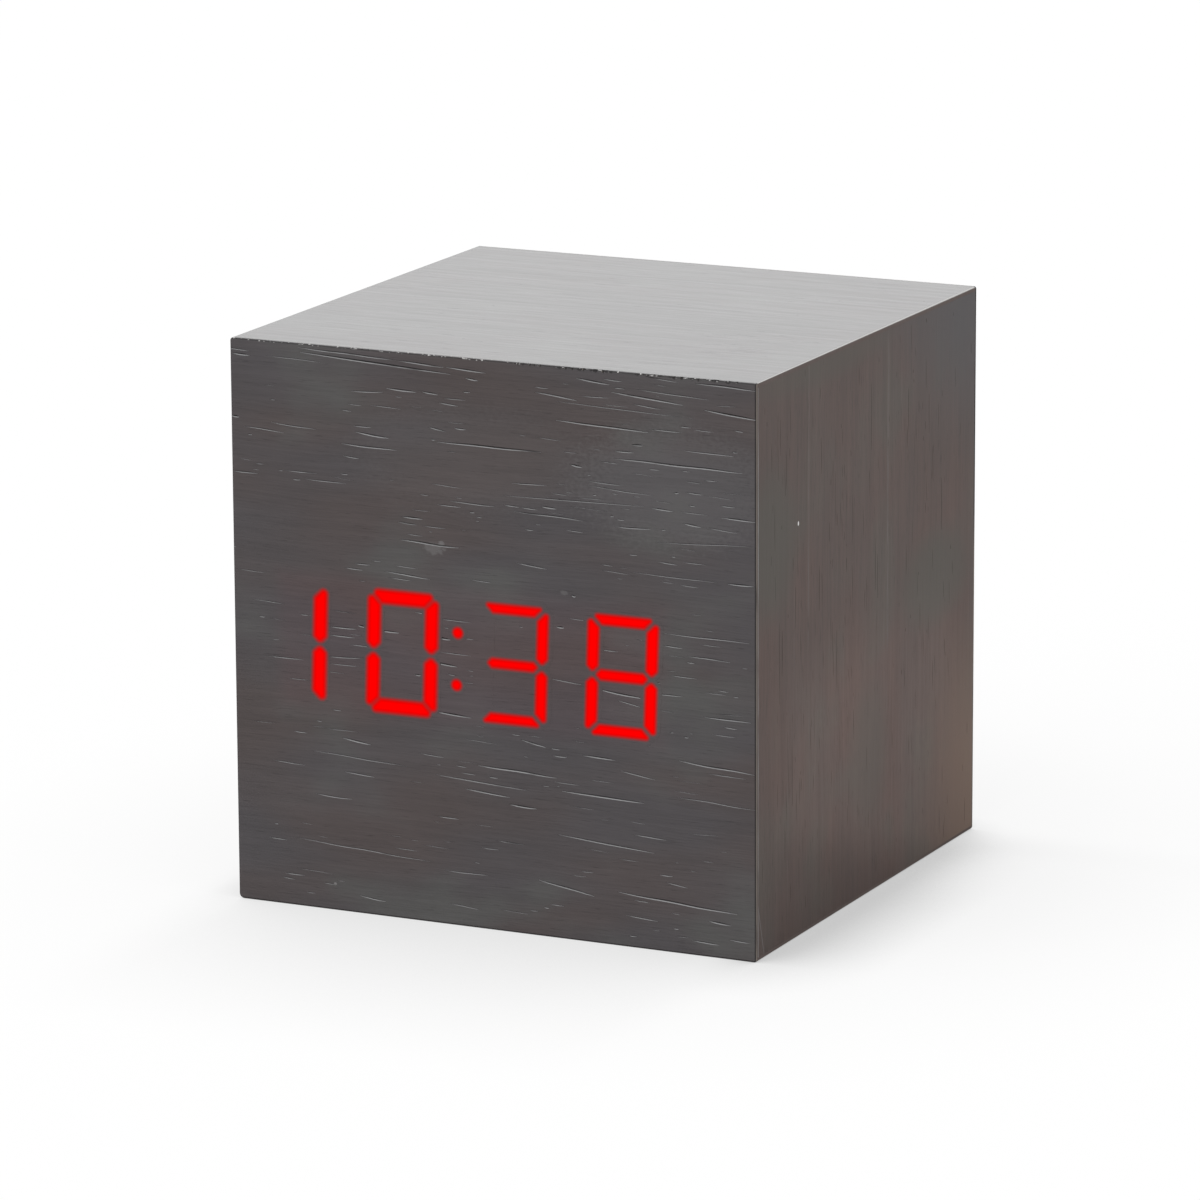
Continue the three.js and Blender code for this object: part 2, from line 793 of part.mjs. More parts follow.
// The power socket and the buttons stand in a row, with gaps that share what they leave of the board's width
function rowPlaces() {
  const widths = [socketWidth, ...buttonNames.map(() => buttonFlangeDiameter)];
  const spare = buttonBoardWidth - widths.reduce((sum, width) => sum + width);
  let edge = -buttonBoardWidth / 2;
  return widths.map((width, place) => {
    const left = edge + rowGapShares[place] * spare;
    edge = left + width;
    return left + width / 2;
  });
}

function buttonPlaces() {
  return rowPlaces().slice(1).map((x, place) => [buttonNames[place], x]);
}

function coverScrewHoles() {
  return [1, -1].flatMap((side) => [
    rod(pilotBore, side * coverScrewX, coverScrewZ, coverInner - overrun, coverOuter),
    rod(
      screwHeadDiameter + clearance,
      side * coverScrewX,
      coverScrewZ,
      coverOuter - screwHeadHeight - glueFilm,
      coverOuter + overrun,
      roundSides,
    ),
  ]);
}

// Slots in the bay's floor for the solder tabs of the two end contacts
function contactSlots() {
  return [[-1, 2], [1, 0]].map(([side, cell]) => contactTab(side, cellHeights[cell], glueFilm));
}

function boardPostPlaces() {
  return boardPostShares.map((share) => share * buttonBoardWidth);
}

function boardPosts() {
  return boardPostPlaces().map((x) =>
    rod(postDiameter, x, boardPostHeight, buttonBoardRear + glueFilm, coverInner + glueFilm),
  );
}

// Posts under the bay: two take screws, two end in pegs for the control board's holes
function controlPostPlaces() {
  const x = controlWidth / 2 - controlPostInset;
  const low = cellHeights.at(0);
  const high = cellHeights.at(-1);
  return { screws: [[-x, low], [x, high]], pegs: [[x, low], [-x, high]] };
}

function controlPosts() {
  const { screws, pegs } = controlPostPlaces();
  const rear = bayFloorOuter + bayWall / 2;
  const front = controlRear + glueFilm;
  return [
    ...[...screws, ...pegs].map(([x, z]) => rod(postDiameter, x, z, front, rear)),
    ...pegs.map(([x, z]) => rod(pegDiameter, x, z, controlFront - glueFilm, rear)),
  ];
}

function postPilots() {
  const boardEnd = buttonBoardFront + shortScrewLength + glueFilm;
  const controlEnd = controlFront + shortScrewLength + glueFilm;
  return [
    ...boardPostPlaces().map((x) => rod(pilotBore, x, boardPostHeight, buttonBoardFront, boardEnd)),
    ...controlPostPlaces().screws.map(([x, z]) => rod(pilotBore, x, z, controlFront, controlEnd)),
  ];
}

// Battery door with hooks on its lower edge and a latch tongue at its top
function batteryDoor() {
  const panel = plate(doorOutline(), doorInner, coverOuter);
  const hooks = hookPlaces().map((x) => doorHook(x));
  const slots = [1, -1].map((side) => {
    const x = side * (latchWidth / 2 + latchSlot / 2);
    const bottom = doorTop - latchHeight;
    const half = latchSlot / 2;
    return block(x - half, x + half, doorInner - overrun, coverOuter + overrun, bottom, doorTop + overrun);
  });
  const nose = block(
    -latchWidth / 4,
    latchWidth / 4,
    doorInner,
    doorInner + doorThickness / 2,
    doorTop - latchSlot,
    doorTop + latchNose,
  );
  const grips = Array.from({ length: gripCount }, (_, place) => {
    const z = doorTop - (place + 1) * (latchHeight / (gripCount + 1));
    const outline = eased(rectangle(gripWidth, gripHeight, 0, z), gripHeight / 2);
    return plate(outline, coverOuter - gripRise, coverOuter + gripRise);
  });
  return join(cut(panel, ...slots), ...hooks, nose, ...grips);
}

function doorHook(x) {
  const left = x - hookWidth / 2;
  const right = x + hookWidth / 2;
  const top = doorBottom + hookThickness;
  const root = block(left, right, hookFront(), doorInner + doorThickness / 2, doorBottom, top);
  const lip = block(left, right, hookFront(), hookRear(), doorBottom - hookReach, top);
  return join(root, lip);
}

// Cell along X with its raised end towards +X, centred on its length
function cell() {
  const half = cellLength / 2;
  const shoulder = half - cellNubLength;
  const inset = cellNubLength / 2;
  const profile = [
    [0, -half],
    [cellRadius - 2 * inset, -half],
    [cellRadius - inset, inset - half],
    [cellRadius, 2 * inset - half],
    [cellRadius, shoulder - inset],
    [cellRadius - inset, shoulder],
    [cellNubDiameter / 2, shoulder],
    [cellNubDiameter / 2, half],
    [0, half],
  ];
  const geometry = new THREE.LatheGeometry(profile.map(([x, y]) => new THREE.Vector2(x, y)), roundSides);
  return solid(geometry.rotateZ(-quarterTurn));
}

// The raised end of each cell touches a flat contact; the other end leaves room for a spring
function cellMiddle(side) {
  return side * (bayHalf - glueFilm - plateThickness - glueFilm - cellLength / 2);
}

// Contact plate on an end wall of the bay, from one cell height to another
function contactPlate(side, lowCell, highCell) {
  const outer = side * (bayHalf - glueFilm);
  const inner = outer - side * plateThickness;
  const half = cellRadius - plateThickness;
  const bottom = cellHeights[lowCell] - half;
  const top = cellHeights[highCell] + half;
  const front = cellCentre - bayRibDrop + glueFilm;
  return block(Math.min(outer, inner), Math.max(outer, inner), front, cellCentre + half, bottom, top);
}

// Solder tab that runs on through the bay's floor
function contactTab(side, z, margin = 0) {
  const outer = side * (bayHalf - glueFilm + margin);
  const inner = side * (bayHalf - glueFilm - plateThickness - margin);
  const half = cellNubLength + margin;
  const front = bayFloorOuter - cellNubLength - margin;
  const rear = cellCentre - bayRibDrop + overrun;
  return block(Math.min(outer, inner), Math.max(outer, inner), front, rear, z - half, z + half);
}

// Conical spring along +X from x = 0, one unbroken wire
function cellSpring() {
  class Spiral extends THREE.Curve {
    getPoint(share, target = new THREE.Vector3()) {
      const angle = 2 * Math.PI * springTurns * share;
      const radius = THREE.MathUtils.lerp(springBaseDiameter, springTipDiameter, share) / 2 - springWire / 2;
      const x = THREE.MathUtils.lerp(springWire / 2, springRun() - springWire / 2, share);
      return target.set(x, radius * Math.cos(angle), radius * Math.sin(angle));
    }
  }
  const steps = (springTurns * roundSides) / 2;
  const section = new THREE.Shape(circle(springWire, 0, 0, wireSides));
  return solid(new THREE.ExtrudeGeometry(section, { steps, extrudePath: new Spiral() }));
}

function springRun() {
  return springLength - 2 * glueFilm;
}

// Button turned about Y: crowned cap, flange behind the cover and post on the switch; y = 0 at its back
function button() {
  const post = buttonPostDiameter / 2;
  const flange = buttonFlangeDiameter / 2;
  const cap = buttonDiameter / 2;
  const flangeTop = buttonPostLength + buttonFlangeThickness;
  const face = coverOuter + buttonStand - buttonBack;
  return turned(
    [
      [0, 0],
      [post, 0],
      [post, buttonPostLength],
      [flange, buttonPostLength],
      [flange, flangeTop],
      [cap, flangeTop],
      [cap, face - 2 * buttonCrown],
      [cap - buttonCrown, face - buttonCrown],
      [cap / 2, face - buttonCrown / 4],
      [0, face],
    ],
    roundSides,
  );
}

// Switch body with a bore that the plunger sinks into; y = 0 at the board
function switchBody() {
  const body = plate(eased(rectangle(switchSize, switchSize), switchCorner), 0, switchHeight);
  const floor = switchHeight - plungerRoot - buttonTravel - clearance;
  return cut(body, rod(plungerDiameter + 2 * clearance, 0, 0, floor, switchHeight + overrun, smallSides));
}

function plunger() {
  return rod(plungerDiameter, 0, 0, -plungerRoot, plungerStand, smallSides);
}

// Power socket: a bent steel mouth with two cut lower corners, standing on the button board
function socketOutline(margin = 0) {
  const half = socketWidth / 2 + margin;
  const top = socketHeight / 2 + margin;
  const middle = rowPlaces()[0];
  const corners = [
    [socketBevel - half, -top],
    [half - socketBevel, -top],
    [half, socketBevel - top],
    [half, top],
    [-half, top],
    [-half, socketBevel - top],
  ];
  return corners.map(([x, z]) => new THREE.Vector2(middle + x, controlRowHeight + z));
}

function socketShell() {
  const front = buttonBoardRear + glueFilm;
  const rear = coverOuter - clearance;
  const mouth = plate(socketOutline(-socketWall), front + socketWall, rear + overrun);
  return cut(plate(socketOutline(), front, rear), mouth);
}

function socketTongue() {
  const front = buttonBoardRear + glueFilm + socketWall + glueFilm;
  const seat = plate(socketOutline(-socketWall - glueFilm), front, front + tongueSetback);
  const blade = rectangle(tongueWidth, tongueThickness, rowPlaces()[0], controlRowHeight);
  return join(seat, plate(blade, front, coverOuter - clearance - tongueSetback));
}

function micX() {
  return micPlaceShare * buttonBoardWidth;
}

function microphone() {
  const rear = buttonBoardRear + glueFilm + micLength;
  const can = rod(micDiameter, micX(), micHeight, buttonBoardRear + glueFilm, rear, roundSides);
  return cut(can, rod(soundHoleDiameter, micX(), micHeight, rear - soundHoleDiameter / 2, rear + overrun));
}

function buttonBoard() {
  const middle = (buttonBoardBottom + buttonBoardTop) / 2;
  const height = buttonBoardTop - buttonBoardBottom;
  const board = plate(rectangle(buttonBoardWidth, height, 0, middle), buttonBoardFront, buttonBoardRear);
  const front = buttonBoardFront - overrun;
  const rear = buttonBoardRear + overrun;
  const holes = boardPostPlaces().map((x) => rod(pilotBore, x, boardPostHeight, front, rear));
  return cut(board, ...holes);
}

function controlBoard() {
  const outline = eased(rectangle(controlWidth, controlHeight, 0, controlMiddle), noseCornerRadius);
  const board = plate(outline, controlFront, controlRear);
  const { screws, pegs } = controlPostPlaces();
  const hole = (bore, [x, z]) => rod(bore, x, z, controlFront - overrun, controlRear + overrun);
  const holes = [
    ...screws.map((place) => hole(pilotBore, place)),
    ...pegs.map((place) => hole(pegDiameter + clearance, place)),
  ];
  const plugOutline = rectangle(plugWidth, plugHeight, ...placeOn(plugPlaceShares));
  const plug = plate(plugOutline, controlFront - plugLength, controlFront + glueFilm);
  return join(cut(board, ...holes), plug);
}

function placeOn([across, up]) {
  return [across * controlWidth, controlMiddle + up * controlHeight];
}

// Pieces on the control board stand towards -Y from its front at y = 0
function buzzer() {
  const radius = buzzerDiameter / 2;
  const hole = soundHoleDiameter / 2;
  const profile = [
    [0, soundHoleDiameter - buzzerHeight],
    [hole, soundHoleDiameter - buzzerHeight],
    [hole, -buzzerHeight],
    [radius - hole, -buzzerHeight],
    [radius, hole - buzzerHeight],
    [radius, 0],
    [0, 0],
  ];
  return turned(profile, roundSides);
}

function capacitor() {
  const radius = capacitorDiameter / 2;
  const waist = -2 * capacitorNeck;
  return turned([
    [0, -capacitorHeight],
    [radius - capacitorNeck, -capacitorHeight],
    [radius, capacitorNeck - capacitorHeight],
    [radius, waist - 2 * capacitorNeck],
    [radius - capacitorNeck, waist - capacitorNeck],
    [radius, waist],
    [radius, 0],
    [0, 0],
  ]);
}

function crystal() {
  const can = eased(rectangle(crystalLength, crystalWidth), crystalWidth / 2);
  const rim = eased(rectangle(crystalLength + crystalRim, crystalWidth + crystalRim), crystalWidth / 2);
  return join(plate(can, -crystalHeight, 0), plate(rim, -crystalRim, 0));
}

// Coin cell holder: an open ring with a floor and a gap for lifting the cell out
function coinHolder() {
  const outer = coinDiameter + 2 * clearance + 2 * holderWall;
  const wall = rod(outer, 0, 0, -holderFloor - coinHeight, 0, roundSides);
  const hollow = rod(coinDiameter + 2 * clearance, 0, 0, -outer, -holderFloor, roundSides);
  const gap = block(0, outer, -outer, -holderFloor, -coinDiameter / 4, coinDiameter / 4);
  return cut(wall, hollow, gap);
}

function coinCell() {
  const radius = coinDiameter / 2;
  return turned(
    [
      [0, -coinHeight],
      [radius, -coinHeight],
      [radius, -coinStep],
      [radius - coinStep, -coinStep / 2],
      [radius - coinStep, 0],
      [0, 0],
    ],
    roundSides,
  );
}

// Bent steel clip over the coin cell, its feet on the board above and below the holder
function coinClip() {
  const inner = coinDiameter / 2 + clearance + holderWall + clearance;
  const outer = inner + clipThickness;
  const over = -holderFloor - coinHeight - clearance - glueFilm;
  const foot = clipWidth / 2;
  const half = clipWidth / 2;
  return join(
    block(-half, half, over - clipThickness, over, -outer, outer),
    ...[1, -1].flatMap((side) => {
      const near = side * inner;
      const far = side * outer;
      const toe = side * (outer + foot);
      return [
        block(-half, half, over - clipThickness, 0, Math.min(near, far), Math.max(near, far)),
        block(-half, half, -clipThickness, 0, Math.min(near, toe), Math.max(near, toe)),
      ];
    }),
  );
}

// Flat cable: a band of even thickness along a curve in Y and Z
function flatCable(curve, width, x) {
  const steps = smallSides;
  const edge = (side) =>
    Array.from({ length: steps + 1 }, (_, step) => {
      const share = step / steps;
      const tangent = curve.getTangent(share);
      const offset = new THREE.Vector2(-tangent.y, tangent.x).multiplyScalar((side * ribbonThickness) / 2);
      return curve.getPoint(share).add(offset);
    });
  return strip([...edge(-1), ...edge(1).reverse()], x - width / 2, x + width / 2);
}

function displayCable() {
  const start = new THREE.Vector2(shellFront + displayBoardRear + plugLength + glueFilm, displayCentreHeight);
  const end = new THREE.Vector2(controlFront - plugLength - glueFilm, placeOn(plugPlaceShares)[1]);
  const run = (end.x - start.x) / 2;
  const leave = start.clone().setX(start.x + run);
  const arrive = end.clone().setX(end.x - run);
  return flatCable(new THREE.CubicBezierCurve(start, leave, arrive, end), ribbonWidth, plugX());
}

// Flat cable from the button board's front down to the control board's rear
function buttonCable() {
  const inset = ribbonThickness + clearance;
  const start = new THREE.Vector2(buttonBoardFront - glueFilm, buttonBoardBottom + inset);
  const end = new THREE.Vector2(controlRear + glueFilm, controlTop - inset);
  const run = (start.x - end.x) / 2;
  const leave = start.clone().setX(start.x - run);
  const arrive = end.clone().setX(end.x + run);
  const [left, right] = boardPostPlaces();
  return flatCable(new THREE.CubicBezierCurve(end, arrive, leave, start), linkWidth, (left + right) / 2);
}

// Wire from an end contact's tab round the edge of the control board to its front
function batteryWire(side, cell) {
  const z = cellHeights[cell];
  const tabEnd = bayFloorOuter - cellNubLength - glueFilm;
  const tabX = bayHalf - glueFilm - plateThickness / 2;
  const edgeX = controlWidth / 2;
  const drop = 2 * wireDiameter;
  const points = [
    [tabX, tabEnd, z],
    [tabX, tabEnd - drop, z],
    [tabX - plateThickness, controlFront - wireDiameter, z - drop / 2],
    [edgeX, controlFront - drop, z - drop],
    [edgeX - drop, controlFront - drop, z - drop],
    [edgeX - drop, controlFront - glueFilm, z - drop],
  ].map(([x, y, height]) => new THREE.Vector3(side * x, y, height));
  const path = new THREE.CatmullRomCurve3(points);
  const section = new THREE.Shape(circle(wireDiameter, 0, 0, wireSides));
  return solid(new THREE.ExtrudeGeometry(section, { steps: smallSides, extrudePath: path }));
}

// Assembly
const clock = new THREE.Group();

function add(group, name, piece, material, x = 0, y = 0, z = 0) {
  const mesh = new THREE.Mesh(geometryOf(piece), material);
  mesh.name = name;
  mesh.position.set(x, y, z);
  group.add(mesh);
  return mesh;
}

function addCasing() {
  const casing = new THREE.Group();
  add(casing, "case_shell", caseShell(), fibreboard);
  add(casing, "front_skin", frontSkin(), darkWood);
  add(casing, "top_skin", topSkin(), darkWood);
  add(casing, "base_skin", baseSkin(), darkWood);
  add(casing, "left_skin", sideSkin(-1), darkWood);
  add(casing, "right_skin", sideSkin(1), darkWood);
  add(casing, "rear_rim_skin", rearRimSkin(), darkWood);
  clock.add(casing);
}

// The display's own frame starts at the front of the shell, at the middle of the digits
function addDisplay() {
  const display = new THREE.Group();
  display.position.set(0, shellFront, displayCentreHeight);
  add(display, "display_housing", displayHousing(), whitePlastic);
  digits.forEach((digit) => {
    const outlines = digitOutlines(digit, digit.strokes);
    const lit = [...digit.strokes].map((stroke) => digit.lit.includes(stroke));
    add(display, digit.name + "_resin", resin(outlines, lit), litResin);
  });
  add(display, "colon_resin", resin(colonOutlines(), [true, true]), litResin);
  add(display, "display_board", displayBoard(), greenBoard);
  const driver = add(display, "display_driver", chip(chipWidth, chipLength, chipHeight), greyPlastic);
  driver.rotation.z = Math.PI;
  driver.position.set(noseMiddle + driverPlaceShare * noseWidth, displayBoardRear + glueFilm, 0);
  const headTop = frontWallThickness + glueFilm + flangeThickness + glueFilm + screwHeadHeight;
  ["upper", "lower"].forEach((place, index) => {
    const piece = screw(displayScrewLength - glueFilm);
    add(display, "display_screw_" + place, piece, steel, noseMiddle, headTop, earHeights[index]);
  });
  clock.add(display);
}

function addBatteryBay() {
  const bay = new THREE.Group();
  add(bay, "rear_cover", rearCover(), blackPlastic);
  add(bay, "battery_door", batteryDoor(), blackPlastic);
  ["left", "right"].forEach((place, index) => {
    const x = (index ? 1 : -1) * coverScrewX;
    add(bay, "cover_screw_" + place, screw(screwLength, true), steel, x, coverOuter, coverScrewZ);
  });
  ["lower", "middle", "upper"].forEach((place, index) => {
    const side = index === 1 ? 1 : -1;
    const mesh = add(bay, "battery_cell_" + place, cell(), cellSleeve);
    mesh.rotation.z = side > 0 ? 0 : Math.PI;
    mesh.position.set(cellMiddle(side), cellCentre, cellHeights[index]);
    const spring = add(bay, "spring_" + place, cellSpring(), brightMetal);
    spring.rotation.z = side > 0 ? 0 : Math.PI;
    const seat = bayHalf - glueFilm - plateThickness - glueFilm;
    spring.position.set(-side * seat, cellCentre, cellHeights[index]);
  });
  const positive = join(contactPlate(-1, 2, 2), contactTab(-1, cellHeights[2]));
  const negative = join(contactPlate(1, 0, 0), contactTab(1, cellHeights[0]));
  add(bay, "contact_positive", positive, brightMetal);
  add(bay, "contact_negative", negative, brightMetal);
  add(bay, "contact_link_left", contactPlate(-1, 0, 1), brightMetal);
  add(bay, "contact_link_right", contactPlate(1, 1, 2), brightMetal);
  add(bay, "battery_wire_positive", batteryWire(-1, 2), redWire);
  add(bay, "battery_wire_negative", batteryWire(1, 0), blackWire);
  clock.add(bay);
}

function addControls() {
  const controls = new THREE.Group();
  add(controls, "button_board", buttonBoard(), greenBoard);
  buttonPlaces().forEach(([place, x]) => {
    const foot = buttonBoardRear + glueFilm;
    add(controls, "button_" + place, button(), blackPlastic, x, buttonBack, controlRowHeight);
    add(controls, "switch_" + place, switchBody(), greyPlastic, x, foot, controlRowHeight);
    add(controls, "plunger_" + place, plunger(), whitePlastic, x, switchTop, controlRowHeight);
  });
  add(controls, "power_socket_shell", socketShell(), brightMetal);
  add(controls, "power_socket_tongue", socketTongue(), blackPlastic);
  add(controls, "microphone", microphone(), brightMetal);
  ["left", "right"].forEach((place, index) => {
    const mesh = add(controls, "button_board_screw_" + place, screw(shortScrewLength), steel);
    mesh.rotation.x = Math.PI;
    const headTop = buttonBoardFront - glueFilm - screwHeadHeight;
    mesh.position.set(boardPostPlaces()[index], headTop, boardPostHeight);
  });
  add(controls, "button_cable", buttonCable(), greyCable);
  clock.add(controls);
}

function addElectronics() {
  const electronics = new THREE.Group();
  electronics.position.y = controlFront - glueFilm;
  const stand = (name, piece, material, shares, height = 0) => {
    const [x, z] = placeOn(shares);
    return add(electronics, name, piece, material, x, -height, z);
  };
  stand("controller_chip", chip(chipWidth, chipLength, chipHeight), greyPlastic, chipPlaceShares);
  stand("buzzer", buzzer(), blackPlastic, buzzerPlaceShares);
  stand("crystal", crystal(), steel, crystalPlaceShares);
  stand("capacitor", capacitor(), cellSleeve, capacitorPlaceShares);
  stand("coin_cell_holder", coinHolder(), blackPlastic, coinPlaceShares);
  stand("coin_cell", coinCell(), steel, coinPlaceShares, holderFloor + glueFilm);
  stand("coin_cell_clip", coinClip(), brightMetal, coinPlaceShares);
  clock.add(electronics);
  const boards = new THREE.Group();
  add(boards, "control_board", controlBoard(), greenBoard);
  controlPostPlaces().screws.forEach(([x, z], index) => {
    const name = "control_screw_" + (index ? "upper" : "lower");
    const mesh = add(boards, name, screw(shortScrewLength - glueFilm), steel);
    mesh.rotation.x = Math.PI;
    mesh.position.set(x, controlFront - glueFilm - screwHeadHeight, z);
  });
  add(boards, "display_cable", displayCable(), greyCable);
  clock.add(boards);
}

addCasing();
addDisplay();
addBatteryBay();
addControls();
addElectronics();

export default clock;
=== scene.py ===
import json
import math
import random
from collections import namedtuple

import bmesh
import bpy
from mathutils import Matrix, Vector
from mathutils.geometry import delaunay_2d_cdt


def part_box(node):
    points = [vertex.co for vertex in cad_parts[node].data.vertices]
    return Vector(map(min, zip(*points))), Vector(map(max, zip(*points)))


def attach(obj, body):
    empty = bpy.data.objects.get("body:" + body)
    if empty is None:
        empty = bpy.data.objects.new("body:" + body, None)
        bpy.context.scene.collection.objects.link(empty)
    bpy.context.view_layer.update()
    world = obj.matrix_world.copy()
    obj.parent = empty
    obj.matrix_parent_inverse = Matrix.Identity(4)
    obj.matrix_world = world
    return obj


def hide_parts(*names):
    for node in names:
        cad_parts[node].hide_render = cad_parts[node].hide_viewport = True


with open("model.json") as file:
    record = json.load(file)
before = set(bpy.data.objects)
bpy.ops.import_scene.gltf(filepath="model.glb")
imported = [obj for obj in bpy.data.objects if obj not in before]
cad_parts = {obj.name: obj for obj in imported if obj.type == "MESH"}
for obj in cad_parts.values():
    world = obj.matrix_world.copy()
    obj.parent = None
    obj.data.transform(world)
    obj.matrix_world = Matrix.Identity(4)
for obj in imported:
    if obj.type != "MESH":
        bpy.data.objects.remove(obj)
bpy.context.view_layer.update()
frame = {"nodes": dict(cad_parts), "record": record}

# Looks of a wooden cube clock: open-pored veneer, digits that glow through it, and a moulded back.
# Shapes are worked out in millimetres in the CAD frame and turned into metres when a mesh is made.

MM = 0.001

# Camera, fitted to seven corners of the cube in the photograph
CAMERA_PLACE = Vector((327.44, -690.75, 209.85)) * MM
CAMERA_TURN = 25.455
CAMERA_RISE = 13.218
CAMERA_ROLL = -0.285
LENS = 211.7
SENSOR = 36
# The nearest and furthest that it sees, in metres
CLIP_START = 0.01
CLIP_END = 50

# The white room's strength as a light, and the window's: from where, how strong, how wide in degrees
SOFT_LIGHT = 0.55
SUN_TOWARDS = Vector((-0.35, -0.75, 0.85))
SUN_STRENGTH = 1.6
SUN_SPREAD = 50

# Floor: how far and how darkly the clock's painted shadow darkens it, close by on its right, further out,
# and at its foot
FLOOR_HALF = 1500
FLOOR_SEEN_SHARE = 0.9
FLOOR_SEEN_STRENGTH = 1.02
CLOSE_REACH = 14
CLOSE_STRENGTH = 0.75
WIDE_REACH = 50
WIDE_STRENGTH = 0.42
AWAY_SHARE = 0.3
NARROWING = 1.3
CONTACT_REACH = 5
CONTACT_STRENGTH = 0.4

# Edges that turn by more degrees than this stay sharp in shading; soften rounds them in so many steps
SHARP_ANGLE = 40
SOFT_STEPS = 2

# Veneer
EDGE_RADIUS = 0.25
FRONT_RADII = [0.6, 0.3, 0.2, 0.35]
REAR_RADII = [0.4, 0.4, 0.3, 0.4]
EDGE_STEPS = 5
CORNER_STEPS = 9
LEAST_RADIUS = 0.04
TOUCH = 0.01
THIN = 1
SHEET_MARGIN = 1
GLUE_LINE = 0.045
PORE_LIFT = 0.06
PORE_FLOOR_SHARE = 0.12
PORE_MARGIN = 0.03
PORE_BEND = 0.05
# A pore's groove: pitch of its rings, least width and bluntness of its tips, how it winds, and its depth
PORE_PITCH = 1.2
PORE_TIP_SHARE = 0.06
PORE_TAPER = 0.4
PORE_WAVE = 0.9
PORE_DEPTH_SHARES = (0.42, 0.56)
# Lengths that the short pores are drawn from
SHORT_LENGTHS = [0.5, 0.8, 1.2, 1.8, 2.6, 3.6]
# The least and greatest widths of a face's long pores, and of its short ones
FRONT_WIDTHS = (0.2, 0.36), (0.12, 0.26)
REAR_WIDTHS = (0.2, 0.3), (0.12, 0.24)
PLAIN_WIDTHS = (0.15, 0.22), (0.09, 0.17)
RIM_WIDTH = 4.05
RIM_OPENING_RADIUS = 2
RIM_FLARE = 0.15
# Where the top edge of the front is chipped: from and to across it, how many chips, how big
CHIPPED_STRETCHES = [(3, 30, 22, 0.9), (34, 46, 24, 1.5), (48, 61, 16, 1.7)]
CHIP_BATCHES = 3
CHIP_SEED = 3
# Seeds of the places and of the shapes of a face's pores
FRONT_SEEDS = 5, 11
REAR_SEEDS = 21, 22

# Digits, as in the solids
DIGIT_HEIGHT = 12.15
DIGIT_SPAN = 6.965
DIGIT_LEAN = math.tan(math.radians(2))
STROKE_WIDTH = 1.5
STROKE_GAP = 0.2
STROKE_EASE = 0.45
STROKE_STEPS = 4
EASE_LIMIT_SHARE = 0.49
WINDOW_GROW = 0.05
FILM_THICK = 0.015
FILM_REACH = 0.48
FILM_SLACK = 0.001
# How far outside a stroke's rim the rings of the film lie
FILM_RINGS = (-0.7, -0.58, -0.45, -0.34, -0.23, -0.12, -0.01, 0.1, 0.21, 0.32, 0.4, FILM_REACH)
DOT_RADIUS = 0.6
DOT_RISE = 2.9
DOT_CORE = 0.1


def box_mm(node):
    """The lowest and highest corners of a CAD node, in millimetres."""
    low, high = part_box(node)
    return low / MM, high / MM


# The lowest and highest corners of the whole cube, in millimetres
cube_low = box_mm("front_skin")[0]
cube_high = box_mm("rear_rim_skin")[1]


# Shader sums


def math_method(operation, swapped=False):
    """A method that adds a Math node for a wire and another value, in that order or swapped."""

    def method(self, other):
        values = (other, self) if swapped else (self, other)
        return self.sum(operation, *values)

    return method


class Wire:
    """A socket whose value can be used in sums. Each sum adds a Math node."""

    def __init__(self, finish, socket):
        self.finish = finish
        self.socket = socket

    def sum(self, operation, *values):
        return self.finish.node("Math", {"operation": operation}, dict(enumerate(values)))["Value"]

    __add__ = math_method("ADD")
    __radd__ = math_method("ADD", swapped=True)
    __sub__ = math_method("SUBTRACT")
    __rsub__ = math_method("SUBTRACT", swapped=True)
    __mul__ = math_method("MULTIPLY")
    __truediv__ = math_method("DIVIDE")
    __pow__ = math_method("POWER")
    least = math_method("MINIMUM")
    most = math_method("MAXIMUM")

    def __neg__(self):
        return self.sum("MULTIPLY", self, -1)

    def __abs__(self):
        return self.sum("ABSOLUTE", self)

    def wave(self):
        return self.sum("SINE", self)

    def ramp(self, low, high):
        """0 below low, 1 above high and a soft step between them. With low above high it falls."""
        sockets = {"Value": self, "From Min": low, "From Max": high}
        settings = {"interpolation_type": "SMOOTHSTEP"}
        return self.finish.node("MapRange", settings, sockets)["Result"]


class Outputs:
    """The outputs of one shader node, by name or number, as wires."""

    def __init__(self, finish, made):
        self.finish = finish
        self.made = made

    def __getitem__(self, name):
        return Wire(self.finish, self.made.outputs[name])


